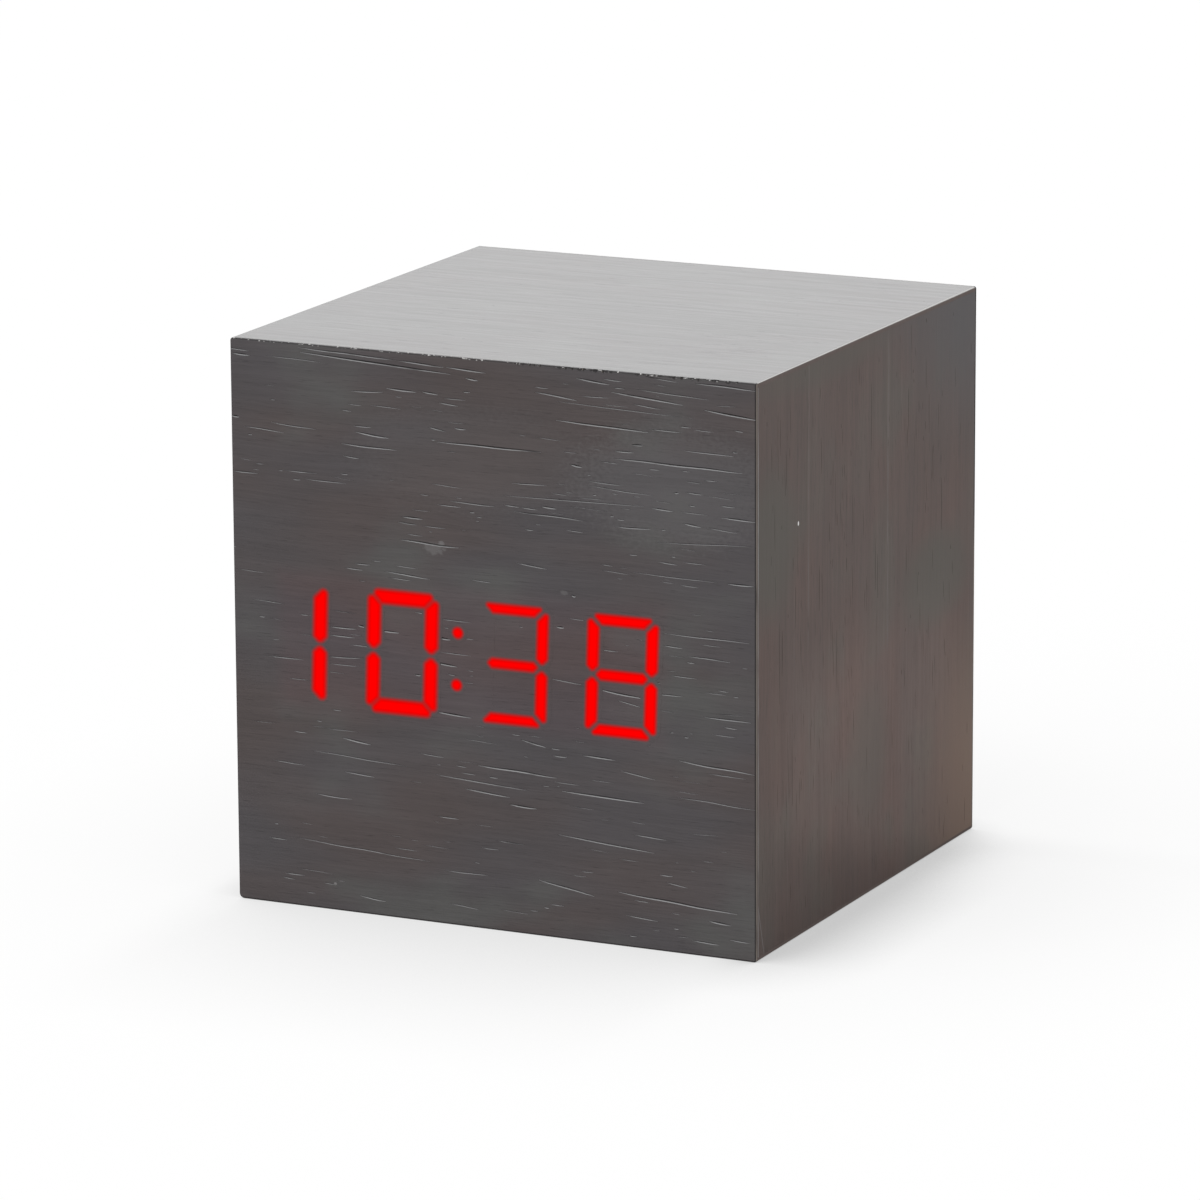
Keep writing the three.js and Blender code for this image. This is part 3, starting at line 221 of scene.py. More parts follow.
class Finish:
    """The nodes of one material, or of the world, and the ways to add to them."""

    def __init__(self, name, world=None):
        self.holder = world or bpy.data.materials.new(name)
        self.holder.use_nodes = True
        self.tree = self.holder.node_tree
        self.tree.nodes.clear()

    def node(self, kind, settings=None, sockets=None):
        made = self.tree.nodes.new("ShaderNode" + kind)
        for name, value in (settings or {}).items():
            setattr(made, name, value)
        for name, value in (sockets or {}).items():
            self.feed(made.inputs[name], value)
        return Outputs(self, made)

    def feed(self, socket, value):
        """Gives a socket a wire, a number or a colour of three parts."""
        if isinstance(value, Wire):
            self.tree.links.new(value.socket, socket)
        elif socket.type == "RGBA":
            socket.default_value = (*value, 1)
        else:
            socket.default_value = value

    def parts(self, held):
        """The three parts of a place or a direction, as wires."""
        split = self.node("SeparateXYZ", sockets={"Vector": held})
        return [split[axis] for axis in "XYZ"]

    def place(self):
        """The place on the piece in millimetres of the CAD frame."""
        return [part * (1 / MM) for part in self.parts(self.node("TexCoord")["Object"])]

    def normal(self):
        """The surface's own direction."""
        return self.parts(self.node("NewGeometry")["Normal"])

    def noise(self, x, y, z, detail=2.0, roughness=0.5):
        """Cloudy noise from 0 to 1 about one half, with one cloud in each unit of the wires given."""
        at = self.node("CombineXYZ", sockets={"X": x, "Y": y, "Z": z})["Vector"]
        sockets = {"Vector": at, "Scale": 1.0, "Detail": detail, "Roughness": roughness}
        return self.node("TexNoise", sockets=sockets)["Fac"]

    def blend(self, factor, first, second):
        """A colour between two colours."""
        sockets = {0: factor, 6: first, 7: second}
        return self.node("Mix", {"data_type": "RGBA"}, sockets)[2]

    def shade(self, colour, amount):
        """A colour made lighter or darker by a number about 1."""
        sockets = {0: colour, "Scale": amount}
        return self.node("VectorMath", {"operation": "SCALE"}, sockets)["Vector"]

    def tinted(self, colour, tint):
        """A colour times another one, part by part."""
        sockets = {0: colour, 1: tint}
        return self.node("VectorMath", {"operation": "MULTIPLY"}, sockets)["Vector"]

    def bump(self, height, distance):
        """A surface direction for relief of this height, distance in millimetres."""
        sockets = {"Strength": 1.0, "Distance": distance * MM, "Height": height}
        return self.node("Bump", sockets=sockets)["Normal"]

    def body(self, **sockets):
        """The surface shader itself, with its sockets in plain words."""
        named = {name.replace("_", " "): value for name, value in sockets.items()}
        return self.node("BsdfPrincipled", sockets=named)["BSDF"]

    def done(self, shader):
        self.node("OutputMaterial", sockets={"Surface": shader})
        return self.holder

    def surface(self, **sockets):
        """The finished material, from the sockets of its surface shader."""
        return self.done(self.body(**sockets))


# Mesh making


def put(name, data):
    """A new object in the scene with this mesh, camera or lamp."""
    made = bpy.data.objects.new(name, data)
    bpy.context.scene.collection.objects.link(made)
    return made


def put_mesh(name, points, faces, material=None):
    """A new object from points in millimetres."""
    mesh = bpy.data.meshes.new(name)
    mesh.from_pydata([tuple(p * MM for p in point) for point in points], [], faces)
    mesh.update()
    if material:
        mesh.materials.append(material)
    return put(name, mesh)


def loft(rings):
    """Points and faces of a solid through closed rings with equal numbers of points."""
    count = len(rings[0])
    points = [point for ring in rings for point in ring]
    faces = [tuple(range(count))[::-1]]
    for k in range(len(rings) - 1):
        for i in range(count):
            j = (i + 1) % count
            faces.append((k * count + i, k * count + j, (k + 1) * count + j, (k + 1) * count + i))
    last = (len(rings) - 1) * count
    faces.append(tuple(range(last, last + count)))
    return points, faces


def outward(made):
    """Turns the faces of a closed mesh outward."""
    shape = bmesh.new()
    shape.from_mesh(made.data)
    bmesh.ops.recalc_face_normals(shape, faces=shape.faces)
    shape.to_mesh(made.data)
    shape.free()
    return made


def settle(made):
    """Turns an object's modifiers into its mesh."""
    bpy.context.view_layer.update()
    shown = made.evaluated_get(bpy.context.evaluated_depsgraph_get())
    mesh = bpy.data.meshes.new_from_object(shown)
    made.modifiers.clear()
    made.data = mesh
    return made


def cut(made, cutter, operation="DIFFERENCE"):
    """Cuts one closed mesh out of another, or keeps what they share."""
    modifier = made.modifiers.new("cut", "BOOLEAN")
    modifier.operation = operation
    modifier.solver = "MANIFOLD"
    modifier.object = cutter
    settle(made)
    bpy.data.objects.remove(cutter)
    return made


def carried(made, slot, *nodes, body="root"):
    """Puts a piece on its body and in place of CAD nodes. Its slot is not used."""
    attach(made, body)
    if nodes:
        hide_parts(*nodes)
    return made


def arc(centre, radius, start, stop, steps):
    """Points on an arc, angles in degrees."""
    turns = [math.radians(start + (stop - start) * k / steps) for k in range(steps + 1)]
    return [(centre[0] + radius * math.cos(t), centre[1] + radius * math.sin(t)) for t in turns]


def rounded_outline(low, high, radii):
    """A rectangle with its own radius at each corner: lower left, lower right, upper right, upper left."""
    corners = [
        (low[0], low[1], 1, 1), (high[0], low[1], -1, 1),
        (high[0], high[1], -1, -1), (low[0], high[1], 1, -1),
    ]
    outline = []
    for index, (x, y, inward_x, inward_y) in enumerate(corners):
        r = radii[index]
        start = 180 + index * 90
        outline += arc((x + inward_x * r, y + inward_y * r), r, start, start + 90, CORNER_STEPS)
    return outline


def eased(corners, radius, steps):
    """A polygon with its corners rounded by arcs of this radius, or smaller ones where a side is short."""
    outline = []
    count = len(corners)
    for i in range(count):
        here = Vector(corners[i])
        before = Vector(corners[i - 1]) - here
        after = Vector(corners[(i + 1) % count]) - here
        shorter = min(before.length, after.length)
        before.normalize()
        after.normalize()
        half = before.angle(after) / 2
        reach = min(radius / math.tan(half), EASE_LIMIT_SHARE * shorter)
        start = here + before * reach
        centre = here + (before + after).normalized() * (reach / math.cos(half))
        bend = math.pi - 2 * half
        for k in range(steps + 1):
            outline.append(centre + Matrix.Rotation(bend * k / steps, 2) @ (start - centre))
    return outline


def turned(name, profile, centre, direction, sides, finish):
    """A round piece. Its profile gives radius and place along the axis, from one end to the other."""
    along = Vector(direction)
    first = along.orthogonal().normalized()
    second = along.cross(first)
    points = []
    rings = []
    for radius, place in profile:
        middle = Vector(centre) + along * place
        if radius == 0:
            rings.append([len(points)] * sides)
            points.append(middle)
            continue
        rings.append([len(points) + k for k in range(sides)])
        for k in range(sides):
            turn = 2 * math.pi * k / sides
            points.append(middle + (first * math.cos(turn) + second * math.sin(turn)) * radius)
    faces = []
    for lower, upper in zip(rings, rings[1:]):
        for k in range(sides):
            j = (k + 1) % sides
            corners = [lower[k], lower[j], upper[j], upper[k]]
            faces.append([c for i, c in enumerate(corners) if c not in corners[:i]])
    return smooth(outward(put_mesh(name, points, faces, finish)))


def smooth(made):
    """Shades a piece smoothly, but keeps its sharp edges."""
    made.data.shade_smooth()
    made.data.set_sharp_from_angle(angle=math.radians(SHARP_ANGLE))
    return made


def soften(node, width):
    """Rounds the sharp edges of a CAD node by modifiers."""
    joined = node.modifiers.new("joined", "WELD")
    joined.merge_threshold = 0.001 * MM
    flat = node.modifiers.new("flat", "DECIMATE")
    flat.decimate_type = "DISSOLVE"
    flat.angle_limit = math.radians(1)
    round_edges = node.modifiers.new("round_edges", "BEVEL")
    round_edges.width = width * MM
    round_edges.segments = SOFT_STEPS
    round_edges.limit_method = "ANGLE"
    round_edges.angle_limit = math.radians(SHARP_ANGLE)


# Veneer finish


def veneer(name, along, across, out, tint, patch, warm, streak=1.0):
    """Dark open-pored veneer. along and across are the axes of the grain, out the axis it faces."""
    finish = Finish(name)
    at = finish.place()
    facing = finish.normal()
    run = at[along]
    side = at[across]
    level = at[out]
    wander = finish.noise(run / 30, side / 14, level / 40, detail=1)
    line = side + wander * 1.6
    clouds = finish.noise(run / 16, line / 11, level / 40, detail=2, roughness=0.55)
    warmth = finish.noise(run / 22 + 7, line / 9, level / 40 + 3, detail=1)
    bands = finish.noise(run / 34, line / 0.9, level / 60, detail=2, roughness=0.6)
    fine = finish.noise(run / 5, line / 0.16, level / 9, detail=2, roughness=0.7)
    ticks = finish.noise(run / 2.2, line / 0.1, level / 4, detail=1, roughness=0.6)
    hairs = ticks.ramp(0.64, 0.75)
    colour = finish.blend(warmth.ramp(0.35, 0.68), tint, warm)
    colour = finish.blend(clouds.ramp(0.5, 0.72), colour, patch)
    light = 1 + (clouds - 0.5) * 0.34 + (bands - 0.5) * 0.3 * streak + (fine - 0.5) * 0.42 * streak
    light = light * (1 - hairs * 0.3 * streak)
    return finish, at, facing, finish.shade(colour, light), fine, bands


def pored(finish, colour, sunk, lit_wall, lip, highlight_share, shade_share):
    """Colours the walls of cut pores: darker inside as painted shade, paler on the wall that faces the light
    as a painted highlight.
    """
    depth = sunk.ramp(0.004, 0.03)
    # Painted shade inside the pore, and a painted highlight on the wall that faces the light
    shaded_inside = finish.shade(colour, shade_share)
    highlight_and_wear = lit_wall.ramp(0.1, 0.5) * sunk.ramp(0.18, 0.1) * highlight_share
    inside = finish.blend(highlight_and_wear, shaded_inside, lip)
    return finish.blend(depth, colour, inside), depth


def near(wire, middle, reach):
    """1 where a wire has a value, falling to 0 at reach to both sides of it."""
    return abs(wire - middle).ramp(reach, 0)


FRONT_TINT = (0.066, 0.0602, 0.0635)
FRONT_PATCH = (0.072, 0.0702, 0.069)
FRONT_WARM = (0.071, 0.058, 0.057)
# Pale colour of the painted highlights on pore lips and edges, and of scratches
HIGHLIGHT_AND_WEAR_COLOUR = (0.38, 0.38, 0.387)
FLECK_COLOUR = (0.62, 0.61, 0.60)
EDGE_GRAIN = (0.20, 0.172, 0.15)
EDGE_DARK = (0.022, 0.019, 0.019)
SMUDGE_COLOUR = (0.17, 0.165, 0.165)
# Share of the painted highlight on the front's pore lips, and darkness of the painted shade inside its pores
FRONT_HIGHLIGHT_SHARE = 0.9
FRONT_PORE_SHADE = 0.45
# Marks on the front: the wide ones set by comparing patches with the photograph, the small ones listed one
# by one.
# Each gives its place from the left edge and down from the top, its reach across and down, and its strength
SMUDGES = [
    (24.6, 21.2, 1.5, 0.8, 0.4), (25.4, 20.6, 0.5, 0.4, 0.6), (12, 60, 0.22, 0.2, 1),
    (40, 24.6, 0.6, 0.3, 0.3), (53, 12, 14, 8, 0.15), (30, 11, 18, 7, 0.07),
]
# Where light that spreads in the veneer tints it red: left, right, low and high in mm
BLUSH = (-25.5, 20.5, 22.5, 37.5)


def front_finish(name="front_veneer", lit=False, node="front_skin"):
    """The front and the rear rim: grain across the clock, open pores, and the glow of the strokes."""
    finish, (x, y, z), facing, colour, fine, bands = veneer(
        name, 0, 2, 1, FRONT_TINT, FRONT_PATCH, FRONT_WARM)
    low, high = box_mm(node)
    is_front = node == "front_skin"
    sunk = y - low.y if is_front else high.y - y
    rim = (high.x - 0.06 - abs(x)).least(z - 0.16).ramp(0.1, 0.0)
    top_rim = (z - (high.z - 0.2)).ramp(0.0, 0.12)
    if is_front:
        left, right, bottom, top = BLUSH
        blush = (x - left).least(right - x).least(z - bottom).least(top - z).ramp(-1.5, 1.2)
        colour = finish.blend(blush * 0.5, colour, finish.tinted(colour, (1.2, 0.96, 1.0)))
        for across, down, reach_x, reach_z, strength in SMUDGES:
            away = ((x - (low.x + across)) / reach_x) ** 2 + ((z - (high.z - down)) / reach_z) ** 2
            cloud = finish.noise(x / 0.5, z / 0.35, 2, detail=2)
            edge = away + (cloud - 0.5) * 1.6
            colour = finish.blend(edge.ramp(1, 0.2) * strength, colour, SMUDGE_COLOUR)
    # Painted highlight along the lower lips of the front's pores, kept off the chipped top edge
    glint = finish.noise(x / 4, z / 0.6, 3.5, detail=1).ramp(0.14, 0.42) * FRONT_HIGHLIGHT_SHARE
    glint = glint * (high.z - 0.42 - z).ramp(-0.08, 0.08)
    colour, depth = pored(finish, colour, sunk, facing[2], HIGHLIGHT_AND_WEAR_COLOUR, glint, FRONT_PORE_SHADE)
    colour = finish.blend(rim, colour, EDGE_DARK)
    flecks = finish.noise(x / 0.34, z / 0.2, y / 0.2, detail=2)
    colour = finish.blend(top_rim * flecks.ramp(0.6, 0.7), colour, FLECK_COLOUR)
    sanded = abs(facing[0]).ramp(0.7, 0.92)
    if is_front:
        grain = finish.blend((y - low.y).ramp(0.3, 0.36), EDGE_GRAIN, SIDE_TINT)
    else:
        grain = finish.blend((z - (high.z - 32)).ramp(0, 8), EDGE_GRAIN, EDGE_DARK)
    colour = finish.blend(sanded * finish.noise(y / 0.2, z / 6, 2, detail=1).ramp(0.2, 0.5), colour, grain)
    height = fine * 0.6 + bands * 0.5
    upward = facing[2].ramp(0.8, 0.98) * top_rim
    wood = finish.body(
        Base_Color=colour, Roughness=0.52 + (fine - 0.5) * 0.2 + depth * 0.1 - upward * 0.16,
        Normal=finish.bump(height, 0.03), Specular_IOR_Level=0.25,
        Coat_Weight=upward, Coat_Roughness=0.26)
    if not lit:
        return finish.done(wood)
    glow = finish.node("Attribute", {"attribute_name": "lit"})["Fac"]
    ember = finish.noise(x / 0.7, z / 0.7, 0.5, detail=1)
    red = finish.blend(ember, (1.0, 0.0, 0.0), (1.06, 0.0, 0.0))
    dimmed = finish.shade(red, glow ** 1.3 * 0.62 + 0.38)
    light = finish.node("Emission", sockets={"Color": dimmed, "Strength": 1.0})["Emission"]
    cover = 1 - (1 - glow) ** 2.8
    mixed = finish.node("MixShader", sockets={0: cover, 1: wood, 2: light})["Shader"]
    return finish.done(mixed)


SIDE_TINT = (0.104, 0.075, 0.067)
SIDE_PATCH = (0.098, 0.079, 0.069)
SIDE_OLIVE = (0.091, 0.083, 0.071)
SIDE_WARM = (0.114, 0.076, 0.066)
SIDE_COOL = (0.088, 0.084, 0.088)
# Colour of a painted warm reflection at the lower rear of the sides
SIDE_WARM_REFLECTION = (0.235, 0.160, 0.121)
# Painted highlight on the pore lips of the sides, and darkness of the painted shade inside their pores
SIDE_LIP_HIGHLIGHT = (0.15, 0.13, 0.12)
SIDE_STRIPE = (0.150, 0.125, 0.115)
SIDE_PORE_SHADE = 0.5
# Pale upright stripes of the sides: from the front edge, half width, from and to below the top, strength
STRIPES = [
    (13.7, 0.35, -5, 33, 0.7), (13.9, 0.3, 36, 50, 0.45), (35.3, 0.5, 0, 38, 0.8), (10, 0.25, 22, 36, 0.35),
    (8.3, 0.25, 38, 62, 0.4), (35, 0.35, 38, 46, 0.4), (39, 0.3, 4, 14, 0.35),
]
# Olive clouds of the sides, set by comparing patches with the photograph: from the front edge, below the
# top, reach across and down, strength
SIDE_CLOUDS = [(4, 18, 7, 9, 0.8), (49, 31, 11, 6, 0.8), (18, 0, 22, 3.5, 0.6), (30, 47, 6, 9, 0.45)]


def side_finish():
    """The sides: upright grain with pale stripes, in flatter relief than the front."""
    finish, (x, y, z), facing, colour, fine, bands = veneer(
        "side_veneer", 2, 1, 0, SIDE_TINT, SIDE_PATCH, SIDE_WARM, streak=1.5)
    sunk = cube_high.x - abs(x)
    back = y - cube_low.y
    down = cube_high.z - z
    for middle, drop, reach_y, reach_z, strength in SIDE_CLOUDS:
        away = ((back - middle) / reach_y) ** 2 + ((down - drop) / reach_z) ** 2
        colour = finish.blend(away.ramp(1.3, 0.1) * strength, colour, SIDE_OLIVE)
    swept = (back - 34 - down * 0.9).ramp(-8, 20) * down.ramp(24, 3)
    colour = finish.blend(swept * 0.85, colour, SIDE_COOL)
    # Painted reflection of the floor: lighter across the lower middle of the sides
    painted_floor_reflection = down.ramp(27, 42) * back.ramp(-6, 20) * back.ramp(60, 46) * (z + back * 0.27 - 13).ramp(-3, 4)
    colour = finish.shade(colour, 1 + painted_floor_reflection * 0.36)
    # Painted warm reflection towards the lower rear
    painted_warm_reflection = back.ramp(42, 60) * down.ramp(32, 56)
    colour = finish.blend(painted_warm_reflection * 0.8, colour, SIDE_WARM_REFLECTION)
    sway = finish.noise(0.5, 0.5, z / 14, detail=1) * 0.5
    ragged = finish.noise(y / 0.25, 2, z / 3, detail=2).ramp(0.3, 0.6)
    for middle, reach, start, stop, strength in STRIPES:
        along = (down - start).least(stop - down).ramp(0, 4)
        stripe = near(back + sway, middle + 0.25, reach) * along * ragged * strength
        colour = finish.blend(stripe, colour, SIDE_STRIPE)
    scratch = near(back - (down - 56.5) * 0.28, 0.4, 0.13) * down.ramp(55.5, 58)
    speck = ((back - 11.0) ** 2 + ((down - 17.2) / 1.5) ** 2).ramp(0.04, 0.012) * x.ramp(0, 1)
    # Painted shade inside the side pores and a painted highlight on their front-facing walls
    colour = pored(finish, colour, sunk, -facing[1], SIDE_LIP_HIGHLIGHT, 0.75, SIDE_PORE_SHADE)[0]
    colour = finish.blend(scratch * 0.35, colour, HIGHLIGHT_AND_WEAR_COLOUR)
    # Pale front edge of the sides: wear and a painted edge highlight
    rub_and_highlight = finish.noise(y / 0.2, z / 5, 1.5, detail=1)
    colour = finish.blend(back.ramp(0.66, 0.56) * rub_and_highlight.ramp(0.25, 0.6), colour, HIGHLIGHT_AND_WEAR_COLOUR)
    # Painted shade: darker towards the bottom, less so towards the rear
    colour = finish.shade(colour, 0.84 + (z + back.ramp(10, 60) * 13).ramp(1, 15) * 0.16)
    colour = finish.blend(speck, colour, (0.9, 0.88, 0.86))
    height = fine * 0.5 + bands * 0.5
    return finish.surface(
        Base_Color=colour, Roughness=0.55 + (fine - 0.5) * 0.15,
        Normal=finish.bump(height, 0.02), Specular_IOR_Level=0.25)


TOP_TINT = (0.093, 0.091, 0.092)
TOP_PATCH = (0.104, 0.104, 0.103)
TOP_WARM = (0.096, 0.088, 0.090)
# Painted highlight on the top's pore lips, painted edge highlight with wear, and darkness of the painted
# shade in its pores
TOP_LIP_HIGHLIGHT = (0.2, 0.2, 0.2)
TOP_EDGE_HIGHLIGHT_AND_WEAR = (0.7, 0.69, 0.67)
TOP_PORE_SHADE = 0.6


def top_finish():
    """The top and base: grain across the clock, satin lacquer pale along the edges from wear and a painted
    highlight.
    """
    finish, (_, _, z), facing, colour, fine, bands = veneer(
        "top_veneer", 0, 1, 2, TOP_TINT, TOP_PATCH, TOP_WARM, streak=0.7)
    sunk = (cube_high.z - z).least(z - cube_low.z)
    # Painted shade inside the top's pores and a painted highlight on their front-facing walls
    colour, depth = pored(finish, colour, sunk, -facing[1], TOP_LIP_HIGHLIGHT, 0.7, TOP_PORE_SHADE)
    upright = abs(facing[0]).ramp(0.72, 0.9)
    # Pale rounded edges: wear and a painted edge highlight
    highlight_and_wear = abs(facing[0]).ramp(0.1, 0.4) * (1 - upright)
    colour = finish.blend(highlight_and_wear * 0.8, colour, TOP_EDGE_HIGHLIGHT_AND_WEAR)
    colour = finish.blend(upright, colour, SIDE_TINT)
    height = fine * 0.5 + bands * 0.5
    return finish.surface(
        Base_Color=colour,
        Roughness=0.36 + (fine - 0.5) * 0.34 + (bands - 0.5) * 0.24 + depth * 0.2 + upright * 0.2,
        Normal=finish.bump(height, 0.02), Specular_IOR_Level=0.6,
        Coat_Weight=1.0 - upright, Coat_Roughness=0.26)


# Sheets of veneer


class Face:
    """One face of the cube: directions along its grain, across it and outward, and its first corner."""

    def __init__(self, along, across, out):
        self.along = Vector(along)
        self.across = Vector(across)
        self.out = Vector(out)
        inward = self.along + self.across - self.out
        self.corner = Vector([cube_low[k] if inward[k] > 0 else cube_high[k] for k in range(3)])

    def point(self, along, across, out):
        return self.corner + self.along * along + self.across * across + self.out * out


FRONT = Face((1, 0, 0), (0, 0, -1), (0, -1, 0))
REAR = Face((-1, 0, 0), (0, 0, -1), (0, 1, 0))
RIGHT = Face((0, 0, -1), (0, 1, 0), (1, 0, 0))
LEFT = Face((0, 0, -1), (0, -1, 0), (-1, 0, 0))
TOP = Face((1, 0, 0), (0, 1, 0), (0, 0, 1))
BASE = Face((1, 0, 0), (0, -1, 0), (0, 0, -1))

# The longest pores of the front, their places read off the photograph: from the left edge, down from the
# top, length and fall in mm
LONG_PORES = [
    (8.3, 0.45, 11.9, 0.45), (20.5, 0.95, 5.4, 0.25), (26.2, 1.2, 4.7, 0.2), (8.6, 0.95, 18.1, 0.95),
    (28.5, 2.2, 1.5, 0.15), (0.3, 1.72, 2.1, 0.05), (4.5, 1.63, 6.5, 0.25), (14.7, 4.7, 3.9, -0.15),
    (19, 4.05, 3.6, 0.15), (23.3, 4.1, 1.9, 0.15), (21.3, 4.6, 1.8, 0.1), (25.9, 4.6, 2.6, 0),
    (25.3, 5.1, 2.3, 0.2), (28.2, 3.7, 0.8, 0), (24.1, 7.9, 2, 0.3), (27.1, 7.75, 1.4, 0.05),
    (17, 6.05, 3.7, 0.2), (4.9, 8.95, 5.5, 0.4), (1.6, 9.7, 4.9, 0.3), (0.1, 8.65, 0.9, 0.05),
    (55.4, 0.5, 7, 0.25), (49.7, 0.25, 3.9, 0.35), (41.6, 1.1, 3.9, 0.4), (36.7, 2.45, 1.6, 0.05),
    (36.8, 3, 4.9, 0.5), (42.1, 2.94, 3.4, 0), (39.2, 3.8, 14.9, 0.5), (45.7, 2.25, 8.4, 0.73),
    (48.8, 1.73, 8.3, 0.45), (48.2, 3.35, 3.3, 0.3), (56.5, 3.3, 6.2, 0.6), (39.2, 5.85, 11, 0.4),
    (54, 7.85, 6.2, 0.15), (46.1, 9.4, 14.8, 0.3), (46.1, 8.6, 2.2, 0), (48.1, 7.75, 1.3, 0),
    (60, 5.2, 1, 0.1), (40.9, 10.5, 1.3, 0.2), (13.5, 10.6, 6.7, 0.2), (15.2, 9.2, 4, 0.3),
    (25, 9.4, 12.4, 0.1), (6.6, 14.1, 3.8, 0.15), (0.2, 14.8, 3, 0), (9, 14.9, 5, 0.1),
    (33, 14.6, 16.5, -0.3), (42.8, 12.65, 7.8, 0.4), (33.9, 13.1, 4.2, 0), (50.4, 14.4, 2.5, 0.15),
    (53.7, 14.5, 3.2, 0.1), (58.5, 14.7, 3.9, 0.15), (58.4, 13.45, 1.6, 0.05), (33, 15.6, 1.8, 0.1),
    (37.4, 15.4, 1.8, 0.1), (34.2, 16.2, 8.1, 0.3), (26.5, 15.8, 5.4, 0.1), (46.1, 16.75, 4.2, 0),
    (54.1, 15.75, 2, 0.2), (40.2, 17.7, 2.1, 0.1), (60.8, 9.9, 1.2, 0), (51, 18.1, 11, -0.6),
    (20.8, 18, 2.4, 0.1), (20.5, 20.6, 7, 0.25), (48, 21.6, 10, 0.2), (59.2, 21.8, 3, 0),
    (34.4, 21.9, 3.6, 0.25), (18.6, 24.3, 5.4, 0.3), (29, 24.2, 2.5, 0.1), (25, 28.9, 4, 0.05),
    (38.3, 34.2, 4, 0.3), (44, 34.8, 5.4, 0.5), (46.2, 35.75, 3.1, 0.55), (44.2, 27.95, 4.8, 0),
    (24.6, 33.8, 2.6, 0.25), (24.6, 39.3, 4.3, 0.2), (51.8, 27.9, 10, 0.1), (54.5, 30.1, 5, 0.2),
    (56.4, 36.55, 5.5, 0.1), (53.5, 41.7, 8.8, 0.6), (53.4, 45.7, 9, 0.45), (34.8, 41.3, 3, 0.6),
    (42.2, 42.3, 3.8, 0.1), (13.2, 43.4, 3.4, 0.4), (22.5, 44.1, 3, 0.2), (29.6, 44.7, 9.4, 0.4),
    (9.6, 45.2, 11.4, 0.6), (24.5, 46.3, 11, 0.6), (28, 47.5, 5.4, 0.4), (39.6, 46.5, 9.8, 0.3),
    (13.4, 47.2, 3.6, 0.2), (33.4, 48.7, 3.2, 0.1), (39.2, 51.4, 11.4, 0.8), (48.2, 50.4, 3.8, 0.2),
    (46.6, 43.5, 4.1, 0.6), (7.3, 55.3, 16.4, 0.9), (3.9, 55.6, 2.2, 0.1), (25.5, 56.9, 5.2, 0.1),
    (36.8, 56.7, 6.6, 1.1), (46.3, 57, 14, 0.9), (52, 55.3, 2.5, 0.3), (26, 60.6, 3.6, 0.35),
    (57, 59, 2.6, 0.2), (55, 61.4, 3.2, 0.1), (15, 61, 3.2, 0.3), (59.4, 60.8, 2.4, 0.1),
    (11.8, 31.1, 3.2, -0.1), (17.9, 30.9, 2.3, 0.05), (11.8, 32, 3, 0.05), (11.5, 34.4, 4.2, -0.15),
    (11.7, 35.2, 3.5, 0), (24.9, 31, 1.5, 0.1), (25.1, 32.6, 3.8, 0), (22, 35.4, 1, 0.05),
    (15.2, 30.6, 1, 0.1), (44.2, 30.4, 2.2, 0.05), (49.7, 33.4, 1.6, 0), (39.1, 28.4, 0.9, 0.05),
    (33.9, 40.3, 2.6, 0.05), (48.1, 40.2, 2, 0.2), (31, 26.3, 1.4, 0), (51.7, 29.2, 2.2, 0.1),
    (52.4, 32.4, 3.2, 0.1), (40.9, 24.8, 0.5, 0.1), (4, 35.1, 4.4, 0),
]
# Clusters of short pores: middle along and across the grain, spread along and across, how many
FRONT_CLUSTERS = [
    (44, 1.4, 8, 0.7, 6), (50, 3.6, 9, 2.6, 22), (20, 5.2, 7, 1, 4), (52, 10, 9, 2.6, 14),
    (12, 9.6, 9, 1.2, 6), (33, 8.2, 9, 1.2, 10), (8, 14.4, 7, 1.2, 14), (48, 14.6, 11, 2.2, 34),
    (30, 16.6, 7, 1.6, 14), (54, 18.8, 7, 1.4, 10), (25, 20, 6, 1.4, 10), (52, 21.8, 7, 0.8, 12),
    (20, 24.4, 6, 1.2, 8), (46, 28.5, 14, 1.2, 14), (10, 31, 8, 2.4, 12), (26, 33, 6, 3.2, 10),
    (56, 32.5, 5, 2.6, 8), (38, 41, 10, 2.2, 16), (56, 38, 4, 2.6, 10), (8, 43, 6, 1.6, 8),
    (34, 47, 12, 2.2, 16), (54, 49, 6, 2.2, 4), (26, 53, 12, 2.2, 12), (48, 54, 9, 2, 8),
    (10, 59.5, 8, 2, 8), (40, 60.5, 16, 1.4, 10), (31, 31, 31, 31, 60),
]
# The longest pores of the right side, read off the photograph too: down from the top, back from the front
# edge, length and drift in mm
RIGHT_PORES = [
    (4.5, 5.6, 7, 0.1), (5, 6.3, 4, 0), (3, 27.2, 2.2, 0), (5.5, 30.6, 7.5, 0.1), (12, 20.2, 5, 0),
    (13.5, 20.9, 6, 0.1), (15, 30.2, 3, 0), (23, 16.6, 5, 0), (24, 17.3, 3.5, 0.1), (23, 31.8, 6, 0.1),
    (25, 32.5, 5, 0), (27, 29.5, 4, 0.05), (30, 20.2, 6, 0.2), (31, 21.3, 7, 0.1), (27, 6, 9, 0.1),
    (28, 6.8, 5, 0), (24, 10.3, 4.5, 0), (39.5, 8.2, 8, 0.4), (41, 9.4, 7, 0.1), (41, 26, 3.5, 0),
    (46, 29.7, 3, 0), (46, 36.8, 2, 0), (53.5, 30.2, 2, 0), (48.5, 24.8, 3, 0), (9, 17, 4, 0.1),
    (17, 25.6, 5.5, 0), (33, 44.5, 4, 0.1), (8, 41, 5, 0), (20, 50.5, 6, 0.1),
]
